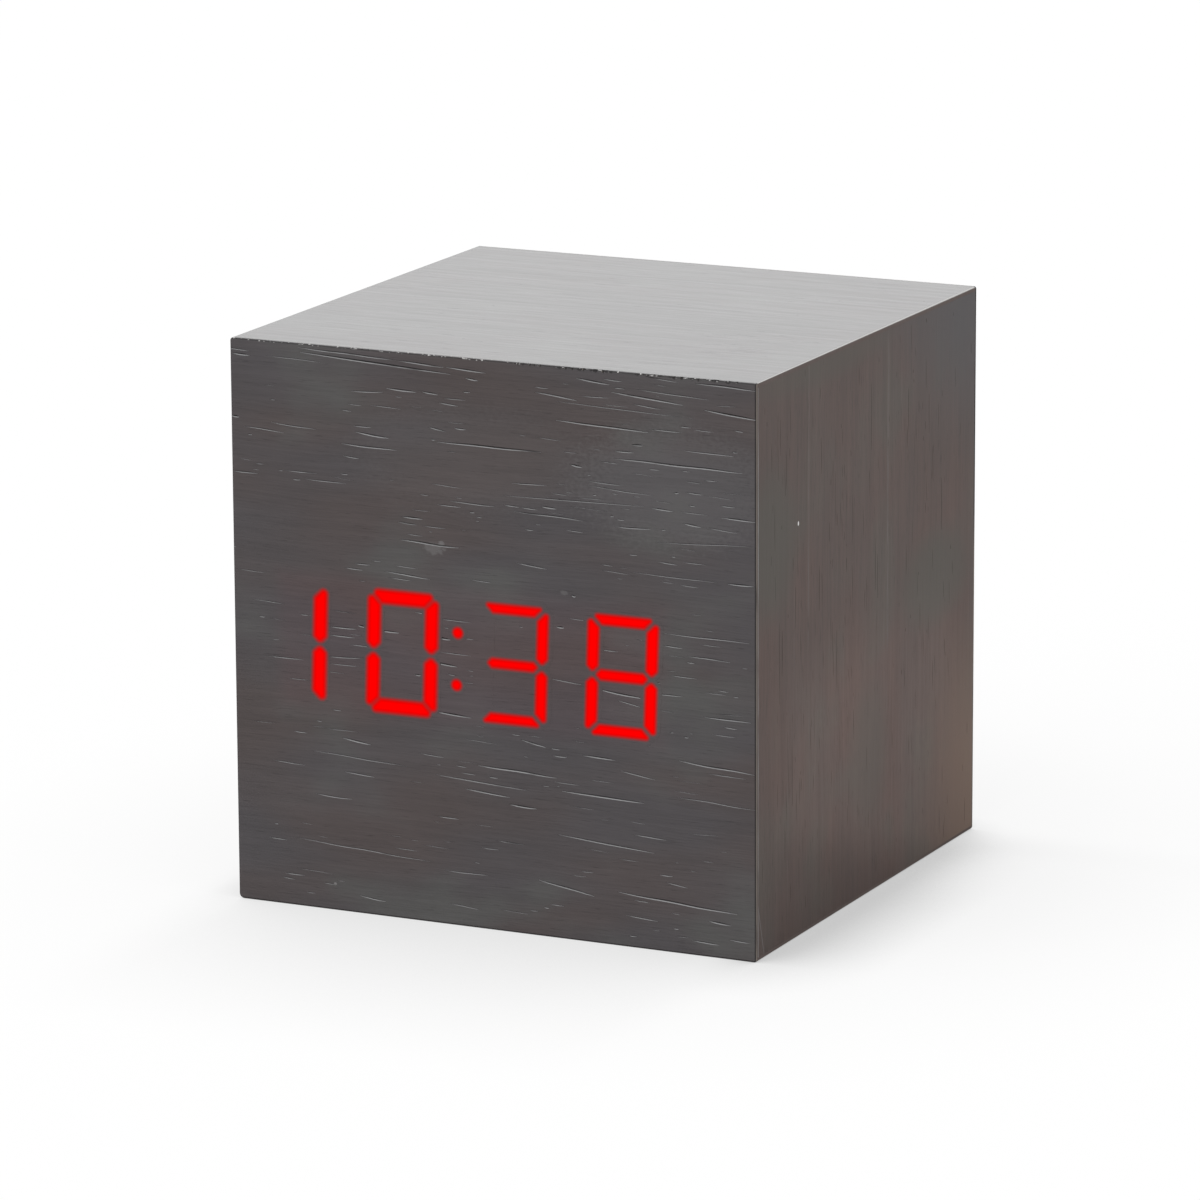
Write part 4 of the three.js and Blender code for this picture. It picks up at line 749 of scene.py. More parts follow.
SIDE_CLUSTERS = [
    (12, 6, 8, 3, 12), (18, 21, 8, 3, 16), (35, 18, 12, 8, 26), (12, 38, 9, 6, 14), (45, 15, 9, 8, 18),
    (28, 45, 24, 10, 26), (31, 30, 30, 29, 110),
]
TOP_CLUSTERS = [(52, 18, 8, 6, 30), (40, 8, 18, 6, 20), (31, 30, 30, 29, 70)]
BASE_CLUSTERS = [(31, 30, 30, 29, 90)]
REAR_CLUSTERS = [
    (31, 1.9, 30, 1.5, 44), (31, 61.1, 30, 1.5, 40), (1.9, 31, 1.4, 29, 44), (60.6, 31, 1.4, 29, 44),
]


def groove(start, length, fall, width, depth, bend, phase):
    """Rings of a long sharp-ended cutter: positions along and down, and how far out of the surface."""
    count = max(5, int(length / PORE_PITCH) + 2)
    rings = []
    for k in range(count):
        t = k / (count - 1)
        taper = max(PORE_TIP_SHARE, math.sin(math.pi * (0.03 + 0.94 * t)) ** PORE_TAPER)
        along = start[0] + length * t
        down = start[1] + fall * t + bend * math.sin(phase + t * length * PORE_WAVE)
        half = width / 2 * taper
        low = depth * taper
        rings.append([
            (along, down - half, PORE_LIFT), (along, down + half, PORE_LIFT),
            (along, down + half * PORE_FLOOR_SHARE, -low), (along, down - half * PORE_FLOOR_SHARE, -low),
        ])
    return rings


def pore_plan(seed, long_pores, clusters, long_width, short_width):
    """The pores of one face that keep clear of those before them: (start, length, fall, width)."""
    chance = random.Random(seed)
    wanted = [((x, y), length, fall, chance.uniform(*long_width)) for x, y, length, fall in long_pores]
    for x, y, spread_x, spread_y, count in clusters:
        for _ in range(count):
            length = chance.choice(SHORT_LENGTHS) * chance.uniform(0.8, 1.3)
            start_x = x + chance.uniform(-spread_x, spread_x) - length / 2
            start = (start_x, y + chance.uniform(-spread_y, spread_y))
            fall = length * chance.uniform(-0.01, 0.07)
            wanted.append((start, length, fall, chance.uniform(*short_width)))
    plan = []
    for candidate in wanted:
        if clear_of(plan, candidate):
            plan.append(candidate)
    return plan


def clear_of(plan, candidate):
    """True where a pore keeps clear of every other one along the stretch that the two share."""
    (x, y), length, fall, width = candidate
    for (other_x, other_y), other_length, other_fall, other_width in plan:
        start = max(x, other_x) - PORE_MARGIN
        stop = min(x + length, other_x + other_length) + PORE_MARGIN
        if start > stop:
            continue
        gaps = []
        for at in (start, stop):
            own = y + fall * (at - x) / length
            other = other_y + other_fall * (at - other_x) / other_length
            gaps.append(own - other)
        needed = (width + other_width) / 2 + PORE_MARGIN + 2 * PORE_BEND
        if gaps[0] * gaps[1] <= 0 or min(abs(gaps[0]), abs(gaps[1])) < needed:
            return False
    return True


def cutter_of(name, solids):
    """One mesh of many separate solids, each given by its rings."""
    points = []
    faces = []
    for rings in solids:
        own_points, own_faces = loft(rings)
        faces += [tuple(i + len(points) for i in face) for face in own_faces]
        points += own_points
    return outward(put_mesh(name, points, faces))


def stroke_corners(name, grow):
    """The corners of one stroke about the digit's middle, as across and up. grow widens it all round."""
    half = STROKE_WIDTH / 2 + grow
    notch = (STROKE_GAP / 2 - grow) * math.sqrt(2)
    side = DIGIT_SPAN / 2
    rise = DIGIT_HEIGHT / 2
    bar = [
        (half + notch - side, rise - half), (side - half - notch, rise - half),
        (side + half - notch, rise + half), (notch - side - half, rise + half),
    ]
    upright = [
        (side - half, half + notch), (side, notch), (side + half, half + notch),
        (side + half, rise + half - notch), (side - half, rise - half - notch),
    ]
    middle = [
        (notch - side, 0), (half + notch - side, -half), (side - half - notch, -half),
        (side - notch, 0), (side - half - notch, half), (half + notch - side, half),
    ]
    shapes = {
        "a": (bar, 1, 1), "b": (upright, 1, 1), "c": (upright, 1, -1), "d": (bar, 1, -1),
        "e": (upright, -1, -1), "f": (upright, -1, 1), "g": (middle, 1, 1),
    }
    corners, flip_x, flip_y = shapes[name]
    placed = [(x * flip_x, y * flip_y) for x, y in corners]
    return placed if flip_x * flip_y > 0 else placed[::-1]


def grown(outline, reach):
    """A closed convex outline moved outward by reach."""
    moved = []
    count = len(outline)
    for i in range(count):
        before = (outline[i] - outline[i - 1]).normalized()
        after = (outline[(i + 1) % count] - outline[i]).normalized()
        sides = Vector((before.y + after.y, -before.x - after.x))
        moved.append(outline[i] + sides.normalized() * reach)
    return moved


# Each digit's strokes and the lit ones among them; where its right-hand strokes cross its mid height; where
# its glow is half faded past a stroke's rim, how far further in on a level stroke, and over what width it
# fades. The colon has two dots instead of strokes
Digit = namedtuple("Digit", "strokes lit line bloom level_trim fade")
DIGITS = {
    "hour_tens": Digit("bc", "bc", -20.7, -0.04, 0, 1.0),
    "hour_units": Digit("abcdefg", "abcdef", -7.185, -0.06, 0, 0.95),
    "minute_tens": Digit("abcdefg", "abcdg", 6.09, -0.18, -0.12, 0.85),
    "minute_units": Digit("abcdefg", "abcdefg", 19.05, -0.15, -0.1, 0.8),
    "colon": Digit("", "", None, -0.08, 0, 0.75),
}
DISPLAY_MIDDLE = 29.85


def stroke_outlines(digit, names, grow):
    """The outlines of a digit's named strokes, or of the colon's dots, on the front."""
    outlines = []
    if digit == "colon":
        low, high = box_mm("colon_resin")
        middle = (low.x + high.x) / 2
        for end in (-DOT_RISE, DOT_RISE):
            centre = (middle + DIGIT_LEAN * end, DISPLAY_MIDDLE + end)
            ring = arc(centre, max(DOT_CORE, DOT_RADIUS + grow), 0, 360, 4 * STROKE_STEPS)[:-1]
            outlines.append([Vector(point) for point in ring])
        return outlines
    middle = DIGITS[digit].line - DIGIT_SPAN / 2
    for name in names:
        if grow < -STROKE_EASE:
            ring = [Vector(corner) for corner in stroke_corners(name, grow)]
        else:
            ring = grown(eased(stroke_corners(name, 0), STROKE_EASE, STROKE_STEPS), grow)
        outlines.append([Vector((middle + p.x + DIGIT_LEAN * p.y, DISPLAY_MIDDLE + p.y)) for p in ring])
    return outlines


def beyond(point, ring):
    """How far a point lies outside a convex ring, below zero inside."""
    furthest = -math.inf
    for i, corner in enumerate(ring):
        side = corner - ring[i - 1]
        away = Vector((side.y, -side.x)).normalized()
        furthest = max(furthest, (point - corner).dot(away))
    return furthest


def lit_outlines(digit):
    """A digit's lit strokes: each outline, with the place past its rim where its glow is half faded."""
    own = DIGITS[digit]
    outlines = stroke_outlines(digit, own.lit, 0)
    trims = [own.level_trim if name in "adg" else 0 for name in own.lit] or [0] * len(outlines)
    return [(ring, own.bloom + trim) for ring, trim in zip(outlines, trims)]


def glow_at(point, lit_rings, fade):
    """How brightly the veneer glows at a point: 1 over a stroke, fading out past its rim."""
    dark = 1.0
    for ring, bloom in lit_rings:
        share = min(1.0, max(0.0, 0.5 - (beyond(point, ring) - bloom) / fade))
        dark *= 1 - share * share * (3 - 2 * share)
    return 1 - dark


def film_sheet(digit):
    """Points and triangles of the veneer over a digit's strokes, cut along rings that follow its glow."""
    strokes = DIGITS[digit].strokes
    rings = []
    for reach in FILM_RINGS:
        rings += stroke_outlines(digit, strokes, reach)
    outer = stroke_outlines(digit, strokes, FILM_REACH + FILM_SLACK)
    points = [point for ring in rings for point in ring]
    loops = []
    start = 0
    for ring in rings:
        loops.append(list(range(start, start + len(ring))))
        start += len(ring)
    made = delaunay_2d_cdt(points, [], loops, 1, 0.002)
    corners, triangles = made[0], made[2]
    kept = []
    for triangle in triangles:
        centre = sum((corners[i] for i in triangle), Vector((0, 0))) / 3
        if min(beyond(centre, ring) for ring in outer) <= 0:
            kept.append(tuple(triangle))
    return corners, kept


def thick_sheet(corners, triangles, front, back):
    """Points and faces of a thin plate between two places in depth."""
    count = len(corners)
    points = [(p.x, front, p.y) for p in corners] + [(p.x, back, p.y) for p in corners]
    faces = list(triangles) + [tuple(i + count for i in reversed(t)) for t in triangles]
    sides = {(t[k], t[(k + 1) % 3]) for t in triangles for k in range(3)}
    for i, j in sides:
        if (j, i) not in sides:
            faces.append((j, i, i + count, j + count))
    return points, faces


def glow_film(digit, finish):
    """The thin veneer left over a digit's light guides. Its light fades out at the rim of each stroke."""
    corners, triangles = film_sheet(digit)
    points, faces = thick_sheet(corners, triangles, cube_low.y - FILM_THICK, cube_low.y)
    made = outward(put_mesh(digit + "_glow", points, faces, finish))
    lit_rings = lit_outlines(digit)
    lit = [glow_at(point, lit_rings, DIGITS[digit].fade) for point in corners] * 2
    attribute = made.data.attributes.new("lit", "FLOAT", "POINT")
    attribute.data.foreach_set("value", lit)
    return carried(made, "lit_resin")


def worn_cube():
    """The whole cube with its worn edges, which every sheet of veneer is trimmed to."""
    rings = []
    for face, inward, radii in ((cube_low.y, 1, FRONT_RADII), (cube_high.y, -1, REAR_RADII)):
        half = []
        for k in range(EDGE_STEPS + 1):
            turn = math.pi / 2 * k / EDGE_STEPS
            inset = EDGE_RADIUS * (1 - math.sin(turn))
            y = face + inward * EDGE_RADIUS * (1 - math.cos(turn))
            own = [max(LEAST_RADIUS, r - inset) for r in radii]
            low, high = (cube_low.x + inset, cube_low.z + inset), (cube_high.x - inset, cube_high.z - inset)
            half.append([(x, y, z) for x, z in rounded_outline(low, high, own)])
        rings += half[::inward]
    return outward(put_mesh("worn_cube", *loft(rings)))


def sheet(name, node, finish):
    """A sheet of veneer in the place of its CAD node, trimmed to the worn edges of the cube."""
    low, high = box_mm(node)
    for axis in range(3):
        inner = 0 if high[axis] - low[axis] < THIN else GLUE_LINE
        low[axis] -= SHEET_MARGIN if low[axis] < cube_low[axis] + TOUCH else inner
        high[axis] += SHEET_MARGIN if high[axis] > cube_high[axis] - TOUCH else inner
    corners = [(low.x, low.z), (high.x, low.z), (high.x, high.z), (low.x, high.z)]
    rings = [[(x, y, z) for x, z in corners] for y in (low.y, high.y)]
    made = outward(put_mesh(name, *loft(rings), finish))
    return cut(made, worn_cube(), "INTERSECT")


def open_pores(made, face, plan, seed):
    """Cuts a plan of pores into a sheet."""
    chance = random.Random(seed)
    pores = []
    for start, length, fall, width in plan:
        depth = width * chance.uniform(*PORE_DEPTH_SHARES)
        bend = chance.uniform(0.0, PORE_BEND) * min(1, length / 4)
        shape = groove(start, length, fall, width, depth, bend, chance.uniform(0, 6))
        pores.append([[face.point(*corner) for corner in ring] for ring in shape])
    return cut(made, cutter_of("pores", pores))


def edge_chips(seed):
    """Small splinters missing from the top edge of the front, as lofted cutters."""
    low, high = box_mm("front_skin")
    chance = random.Random(seed)
    chips = []
    for left, right, count, size in CHIPPED_STRETCHES:
        pitch = (right - left) / count
        for k in range(count):
            x = low.x + left + pitch * (k + chance.uniform(0.1, 0.9))
            length = chance.uniform(0.15, 0.55) * size
            drop = chance.uniform(0.1, 0.3) * size
            inward = chance.uniform(0.08, 0.22) * size
            lean = chance.uniform(-0.1, 0.1)
            rings = []
            for t, share in ((-0.5, 0.15), (-0.2, 0.8), (0.15, 1.0), (0.5, 0.1)):
                at = x + t * length
                bottom = high.z - drop * share
                deep = low.y + inward * share
                rings.append([
                    (at, low.y - 0.1, bottom + lean * 0.1), (at + lean, deep, high.z - drop * share * 0.4),
                    (at, deep, high.z + 0.1), (at, low.y - 0.1, high.z + 0.1),
                ])
            chips.append(rings)
    return chips


def front_face():
    """The front skin with worn edges, open pores and a window over each light guide."""
    low, high = box_mm("front_skin")
    made = sheet("front_face", "front_skin", front_finish())
    windows = []
    for digit, own in DIGITS.items():
        for outline in stroke_outlines(digit, own.strokes, WINDOW_GROW):
            windows.append([[(p.x, y, p.y) for p in outline] for y in (high.y + 1, low.y - 1)])
    cut(made, cutter_of("windows", windows))
    place_seed, shape_seed = FRONT_SEEDS
    plan = pore_plan(place_seed, LONG_PORES, FRONT_CLUSTERS, *FRONT_WIDTHS)
    open_pores(made, FRONT, plan, shape_seed)
    chips = edge_chips(CHIP_SEED)
    for batch in range(CHIP_BATCHES):
        cut(made, cutter_of("chips", chips[batch::CHIP_BATCHES]))
    return carried(made, "dark_wood", "front_skin")


def rear_rim():
    """The frame of veneer round the back, with a slightly rounded opening."""
    made = sheet("rear_rim", "rear_rim_skin", front_finish("rear_veneer", node="rear_rim_skin"))
    low, high = box_mm("rear_rim_skin")
    rings = []
    for y, flare in ((low.y - 1, 0), (high.y - RIM_FLARE, 0), (high.y - RIM_FLARE * 0.3, 0.3 * RIM_FLARE),
                     (high.y, RIM_FLARE), (high.y + 1, RIM_FLARE)):
        reach = RIM_WIDTH - flare
        radius = RIM_OPENING_RADIUS + flare
        corners = (cube_low.x + reach, cube_low.z + reach), (cube_high.x - reach, cube_high.z - reach)
        rings.append([(x, y, z) for x, z in rounded_outline(*corners, [radius] * 4)])
    cut(made, cutter_of("opening", [rings]))
    place_seed, shape_seed = REAR_SEEDS
    open_pores(made, REAR, pore_plan(place_seed, [], REAR_CLUSTERS, *REAR_WIDTHS), shape_seed)
    return carried(made, "dark_wood", "rear_rim_skin")


def plain_sheet(name, node, face, finish, long_pores, clusters, seed):
    """A side, the top or the base, with finer pores than the front."""
    made = sheet(name, node, finish)
    open_pores(made, face, pore_plan(seed, long_pores, clusters, *PLAIN_WIDTHS), seed + 1)
    return carried(made, "dark_wood", node)


front_face()
glow_finish = front_finish("glowing_veneer", lit=True)
for digit in DIGITS:
    glow_film(digit, glow_finish)
rear_rim()
side_veneer = side_finish()
top_veneer = top_finish()
plain_sheet("right_side", "right_skin", RIGHT, side_veneer, RIGHT_PORES, SIDE_CLUSTERS, seed=31)
plain_sheet("left_side", "left_skin", LEFT, side_veneer, [], SIDE_CLUSTERS, seed=41)
plain_sheet("top_face", "top_skin", TOP, top_veneer, [], TOP_CLUSTERS, seed=51)
plain_sheet("base_face", "base_skin", BASE, top_veneer, [], BASE_CLUSTERS, seed=61)


# Finishes of the other pieces


def moulded(name, colour, roughness, grain=0.14, relief=0.008):
    """Moulded plastic with a spark-eroded grain and faint clouds from the flow in the mould."""
    finish = Finish(name)
    x, y, z = finish.place()
    pits = finish.noise(x / grain, y / grain, z / grain, detail=2, roughness=0.6)
    flow = finish.noise(x / 11, y / 9, z / 7, detail=2)
    body_colour = finish.shade(colour, 0.9 + flow * 0.16 + (pits - 0.5) * 0.24)
    return finish.surface(
        Base_Color=body_colour, Roughness=roughness + (flow - 0.5) * 0.14 + (pits - 0.5) * 0.16,
        Normal=finish.bump(pits, relief), Specular_IOR_Level=0.4)


def cap_finish(button, middle, face):
    """The black plastic of a button's cap, with pale paint in its sunk sign."""
    finish = Finish("cap_" + button + "_plastic")
    x, y, z = finish.place()
    pits = finish.noise(x / 0.14, y / 0.14, z / 0.14, detail=2, roughness=0.6)
    touch = finish.noise(x / 2.5, 3, z / 2.5, detail=2)
    away = (((x - middle[0]) ** 2 + (z - middle[1]) ** 2) ** 0.5 - PAINT_REACH).ramp(0.1, 0)
    paint = away * near(y, face - MARK_DEPTH, 0.04) * pits.ramp(0.2, 0.35)
    colour = finish.shade((0.026, 0.026, 0.028), 0.9 + touch * 0.2 + (pits - 0.5) * 0.24)
    return finish.surface(
        Base_Color=finish.blend(paint, colour, (0.42, 0.42, 0.41)), Roughness=0.42 + touch * 0.16,
        Normal=finish.bump(pits, 0.008), Specular_IOR_Level=0.4)


def fibreboard_finish():
    """Raw fibreboard: felted fibres, dark specks and cutter marks."""
    finish = Finish("fibreboard")
    x, y, z = finish.place()
    fibres = finish.noise(x / 0.5, y / 0.22, z / 0.5, detail=3, roughness=0.7)
    specks = finish.noise(x / 0.2, y / 0.2, z / 0.2, detail=1).ramp(0.62, 0.75)
    marks = (y * 4 + fibres * 2).wave() * 0.5 + 0.5
    colour = finish.blend(fibres.ramp(0.35, 0.7), (0.30, 0.19, 0.105), (0.42, 0.29, 0.17))
    colour = finish.blend(specks * 0.6, colour, (0.16, 0.10, 0.06))
    return finish.surface(
        Base_Color=finish.shade(colour, 0.94 + marks * 0.1), Roughness=0.82 + (fibres - 0.5) * 0.2,
        Normal=finish.bump(fibres + marks * 0.3, 0.05), Specular_IOR_Level=0.2)


def metal(name, colour, roughness, stain):
    """Plated metal with fine drawing lines and a faint stain."""
    finish = Finish(name)
    x, y, z = finish.place()
    lines = finish.noise(x / 0.7, y / 0.7, z / 0.04, detail=2)
    clouds = finish.noise(x / 1.8, y / 1.8, z / 1.8, detail=2)
    tone = finish.blend(clouds.ramp(0.4, 0.75) * 0.6, colour, stain)
    return finish.surface(
        Base_Color=finish.shade(tone, 0.9 + lines * 0.2), Metallic=1.0,
        Roughness=roughness + (lines - 0.5) * 0.2 + (clouds - 0.5) * 0.12, Normal=finish.bump(lines, 0.003))


def board_finish():
    """Green solder mask over copper tracks, with tinned pads."""
    finish = Finish("circuit_board")
    x, y, z = finish.place()
    lanes = (z * (2 * math.pi / BOARD_PITCH)).wave().ramp(0.72, 0.86)
    lanes = lanes * finish.noise(x / 5, z / 1.3, 1, detail=0).ramp(0.5, 0.52)
    rungs = (x * (2 * math.pi / BOARD_PITCH)).wave().ramp(0.8, 0.92)
    rungs = rungs * finish.noise(x / 1.3, z / 6, 9, detail=0).ramp(0.56, 0.58)
    tracks = lanes.most(rungs)
    half_pitch = math.pi / BOARD_PITCH
    pads = ((x * half_pitch).wave() * (z * half_pitch).wave()).ramp(0.9, 0.94)
    pads = pads * finish.noise(x / 5, z / 5, 4, detail=0).ramp(0.55, 0.56)
    weave = finish.noise(x / 0.25, y / 0.25, z / 0.25, detail=1)
    colour = finish.blend(tracks, (0.012, 0.12, 0.045), (0.03, 0.21, 0.075))
    colour = finish.blend(pads, colour, (0.62, 0.62, 0.60))
    return finish.surface(
        Base_Color=finish.shade(colour, 0.92 + weave * 0.16), Metallic=pads, Roughness=0.28 + weave * 0.1,
        Normal=finish.bump(tracks * 0.7 + pads + weave * 0.1, 0.03))


def cell_finish(name, positive_low):
    """A dry cell's printed sleeve with a pale band and a plus sign at its positive end, and bare ends."""
    finish = Finish(name)
    low, high = box_mm(name)
    middle = (low + high) / 2
    x, y, z = finish.place()
    along = x - low.x if positive_low else high.x - x
    length = high.x - low.x
    bare = (along - SLEEVE_START).least(length - SLEEVE_END - along).ramp(0.06, -0.06)
    band = (SLEEVE_BAND - along).ramp(-0.05, 0.05)
    line = near(along, SLEEVE_BAND + 0.7, 0.25)
    rise = abs(z - middle.z)
    aside = abs(along - PLUS_PLACE)
    upright = (PLUS_HALF - aside).ramp(0, 0.05) * (PLUS_REACH - rise).ramp(0, 0.1)
    level = (PLUS_HALF - rise).ramp(0, 0.05) * (PLUS_REACH - aside).ramp(0, 0.1)
    plus = upright.most(level) * (y - middle.y).ramp(0, 0.1)
    scuffs = finish.noise(x / 3, y / 0.5, z / 0.5, detail=3)
    colour = finish.blend(band, (0.035, 0.095, 0.20), (0.52, 0.51, 0.48))
    colour = finish.blend(line.most(plus), colour, (0.78, 0.78, 0.76))
    colour = finish.blend(plus * band, colour, (0.04, 0.07, 0.13))
    colour = finish.blend(bare, colour, (0.58, 0.58, 0.57))
    return finish.surface(
        Base_Color=finish.shade(colour, 0.92 + scuffs * 0.16), Metallic=bare.most(band * 0.8),
        Roughness=0.24 + scuffs * 0.14, Normal=finish.bump(scuffs, 0.004),
        Coat_Weight=0.5, Coat_Roughness=0.12)


def rubber(name, colour):
    """Wire insulation with fine die lines."""
    finish = Finish(name)
    x, y, z = finish.place()
    lines = finish.noise(x / 0.12, y / 1.5, z / 0.12, detail=2)
    return finish.surface(
        Base_Color=finish.shade(colour, 0.88 + lines * 0.24), Roughness=0.42 + lines * 0.16,
        Normal=finish.bump(lines, 0.005))


def lit_resin_finish():
    """Cast resin full of red light, with faint clouds in it."""
    finish = Finish("lit_resin")
    x, y, z = finish.place()
    clouds = finish.noise(x / 0.8, y / 0.8, z / 0.8, detail=2)
    red = finish.blend(clouds, (1.0, 0.0, 0.0), (0.92, 0.01, 0.005))
    return finish.surface(
        Base_Color=finish.shade((0.7, 0.01, 0.01), 0.9 + clouds * 0.2), Roughness=0.25 + clouds * 0.1,
        Emission_Color=red, Emission_Strength=1.0, Normal=finish.bump(clouds, 0.004))


BOARD_PITCH = 1.27
SLEEVE_START = 1.75
SLEEVE_END = 0.8
SLEEVE_BAND = 12
PLUS_PLACE = 5
PLUS_HALF = 0.35
PLUS_REACH = 1.4
SLOT_FINISH = {
    "dark_wood": side_veneer,
    "fibreboard": fibreboard_finish(),
    "white_plastic": moulded("white_plastic", (0.78, 0.78, 0.75), 0.38, relief=0.004),
    "lit_resin": lit_resin_finish(),
    "black_plastic": moulded("black_plastic", (0.026, 0.026, 0.028), 0.5),
    "grey_plastic": moulded("grey_plastic", (0.06, 0.06, 0.065), 0.55, grain=0.1),
    "circuit_board": board_finish(),
    "steel": metal("steel", (0.52, 0.53, 0.55), 0.3, (0.56, 0.53, 0.44)),
    "bright_metal": metal("bright_metal", (0.70, 0.69, 0.66), 0.2, (0.62, 0.58, 0.50)),
    "cell_sleeve": moulded("capacitor_sleeve", (0.03, 0.06, 0.14), 0.3, relief=0.002),
    "red_wire": rubber("red_wire", (0.38, 0.018, 0.018)),
    "black_wire": rubber("black_wire", (0.018, 0.018, 0.02)),
    "grey_cable": rubber("grey_cable", (0.30, 0.30, 0.31)),
}
slot_of = {part["node"]: part["material_slot"] for part in frame["record"]["subparts"]}
for name, node in frame["nodes"].items():
    node.data.materials.clear()
    node.data.materials.append(SLOT_FINISH[slot_of[name]])


# Cells, buttons and screws

CELL_SIDES = 72
CAP_SIDES = 64
CELL_RADIUS = 5.25
CELL_NUB_RADIUS = 1.9
CELL_SHOULDER = 1
CELL_ROUND = [(0.0, 1.15), (0.05, 0.7), (0.2, 0.38), (0.5, 0.2), (0.62, 0.2), (0.72, 0.3)]
BUTTON_RADIUS = 2.3
BUTTON_FLANGE_RADIUS = 3.2
BUTTON_POST_RADIUS = 1.5
MARK_DEPTH = 0.14
SCREW_HEAD_HEIGHT = 1.3
SCREW_SHANK_RADIUS = 1.0
SCREW_POINT = 0.8
# The rounding of a screw head: in from its rim and down from its face
SCREW_ROUND = [(0.03, 0.45), (0.1, 0.32), (0.22, 0.21), (0.4, 0.13), (0.7, 0.06), (1.15, 0.015)]
# The cross in a screw head: down from its face, reach and half width of an arm
SCREW_CROSS = [(0.75, 0.42, 0.1), (-0.3, 1.3, 0.28)]
# Signs of the caps: reach of a triangle and its foot from the middle; half length, half width, pitch of bars
MARK_REACH = 0.85
MARK_FOOT = 0.5
MARK_BAR = (0.75, 0.12, 0.55)
PAINT_REACH = 1.3
# How far the edges of these solids are rounded
SOFT_WIDTHS = {
    "rear_cover": 0.15, "battery_door": 0.15, "power_socket_shell": 0.05, "power_socket_tongue": 0.05,
}


def cell(name, positive_low):
    """A dry cell with crimped ends and the raised cap of its positive end."""
    low, high = box_mm(name)
    half = (high.x - low.x) / 2
    shoulder = half - CELL_SHOULDER
    profile = [(0, half), (CELL_NUB_RADIUS - 0.25, half), (CELL_NUB_RADIUS - 0.07, half - 0.07),
               (CELL_NUB_RADIUS, half - 0.25), (CELL_NUB_RADIUS, shoulder + 0.12),
               (CELL_NUB_RADIUS + 0.12, shoulder), (CELL_RADIUS - 0.9, shoulder - 0.02)]
    profile += [(CELL_RADIUS - inset, shoulder + 0.2 - drop) for inset, drop in CELL_ROUND[::-1]]
    profile += [(CELL_RADIUS - inset, drop - 0.2 - half) for inset, drop in CELL_ROUND]
    profile += [(CELL_RADIUS - 1.6, 0.1 - half), (CELL_RADIUS - 1.75, -half), (0, -half)]
    direction = (-1, 0, 0) if positive_low else (1, 0, 0)
    finish = cell_finish(name, positive_low)
    made = turned(name + "_detail", profile, (low + high) / 2, direction, CELL_SIDES, finish)
    return carried(made, "cell_sleeve", name)


def mark_outline(button):
    """The sign sunk into a button's cap, as outlines about its middle."""
    if button == "up":
        return [[(-MARK_REACH, -MARK_FOOT), (MARK_REACH, -MARK_FOOT), (0, MARK_REACH)]]
    if button == "down":
        return [[(0, -MARK_REACH), (MARK_REACH, MARK_FOOT), (-MARK_REACH, MARK_FOOT)]]
    half, thick, pitch = MARK_BAR
    bars = []
    for rise in (-pitch, 0, pitch):
        low, high = rise - thick, rise + thick
        bars.append([(-half, low), (half, low), (half, high), (-half, high)])
    return bars


def standing(node):
    """A round piece that points to the back: its middle in x and z, its two ends in y, and its radius."""
    low, high = box_mm(node)
    return (low.x + high.x) / 2, (low.z + high.z) / 2, low.y, high.y, (high.x - low.x) / 2


def button_cap(button):
    """A push button: post, flange and a low domed cap with its sign sunk in."""
    node = "button_" + button
    x, z, foot, end, _ = standing(node)
    face = end - foot
    profile = [
        (0, 0), (BUTTON_POST_RADIUS, 0), (BUTTON_POST_RADIUS, 0.6), (BUTTON_FLANGE_RADIUS - 0.1, 0.6),
        (BUTTON_FLANGE_RADIUS, 0.7), (BUTTON_FLANGE_RADIUS, 1.1), (BUTTON_FLANGE_RADIUS - 0.1, 1.2),
        (BUTTON_RADIUS, 1.2), (BUTTON_RADIUS, face - 0.52), (2.27, face - 0.42), (2.18, face - 0.33),
        (2.05, face - 0.26), (1.8, face - 0.19), (1.5, face - 0.125), (1.1, face - 0.06),
        (0.6, face - 0.015), (0, face),
    ]
    finish = cap_finish(button, (x, z), end)
    made = turned("cap_" + button, profile, (x, foot, z), (0, 1, 0), CAP_SIDES, finish)
    signs = []
    for outline in mark_outline(button):
        depths = (end - MARK_DEPTH, end + 1)
        signs.append([[(x - across, y, z + rise) for across, rise in outline] for y in depths])
    smooth(cut(made, cutter_of("sign", signs)))
    return carried(made, "black_plastic", node, body=button + "_button")


def cross_outline(reach, half):
    """The outline of the cross in a screw head, about the screw's axis."""
    arm = [(half, half), (reach, half), (reach, -half)]
    return [(across * turn_x + rise * turn_z, rise * turn_x - across * turn_z)
            for turn_x, turn_z in ((1, 0), (0, 1), (-1, 0), (0, -1)) for across, rise in arm]


def cover_screw(place):
    """A cover screw: pointed shank and a round pan head with a tapered cross."""
    node = "cover_screw_" + place
    x, z, foot, end, head = standing(node)
    face = end - foot
    shoulder = face - SCREW_HEAD_HEIGHT
    profile = [
        (0, 0), (SCREW_SHANK_RADIUS, SCREW_POINT), (SCREW_SHANK_RADIUS, shoulder),
        (head - 0.12, shoulder), (head, shoulder + 0.12), (head, face - 0.6),
    ]
    profile += [(head - inset, face - drop) for inset, drop in SCREW_ROUND] + [(0, face)]
    finish = SLOT_FINISH["steel"]
    made = turned("screw_" + place + "_detail", profile, (x, foot, z), (0, 1, 0), CAP_SIDES, finish)
    rings = []
    for drop, reach, half in SCREW_CROSS:
        rings.append([(x + across, end - drop, z + rise) for across, rise in cross_outline(reach, half)])
    smooth(cut(made, cutter_of("cross", [rings])))
    return carried(made, "steel", node)


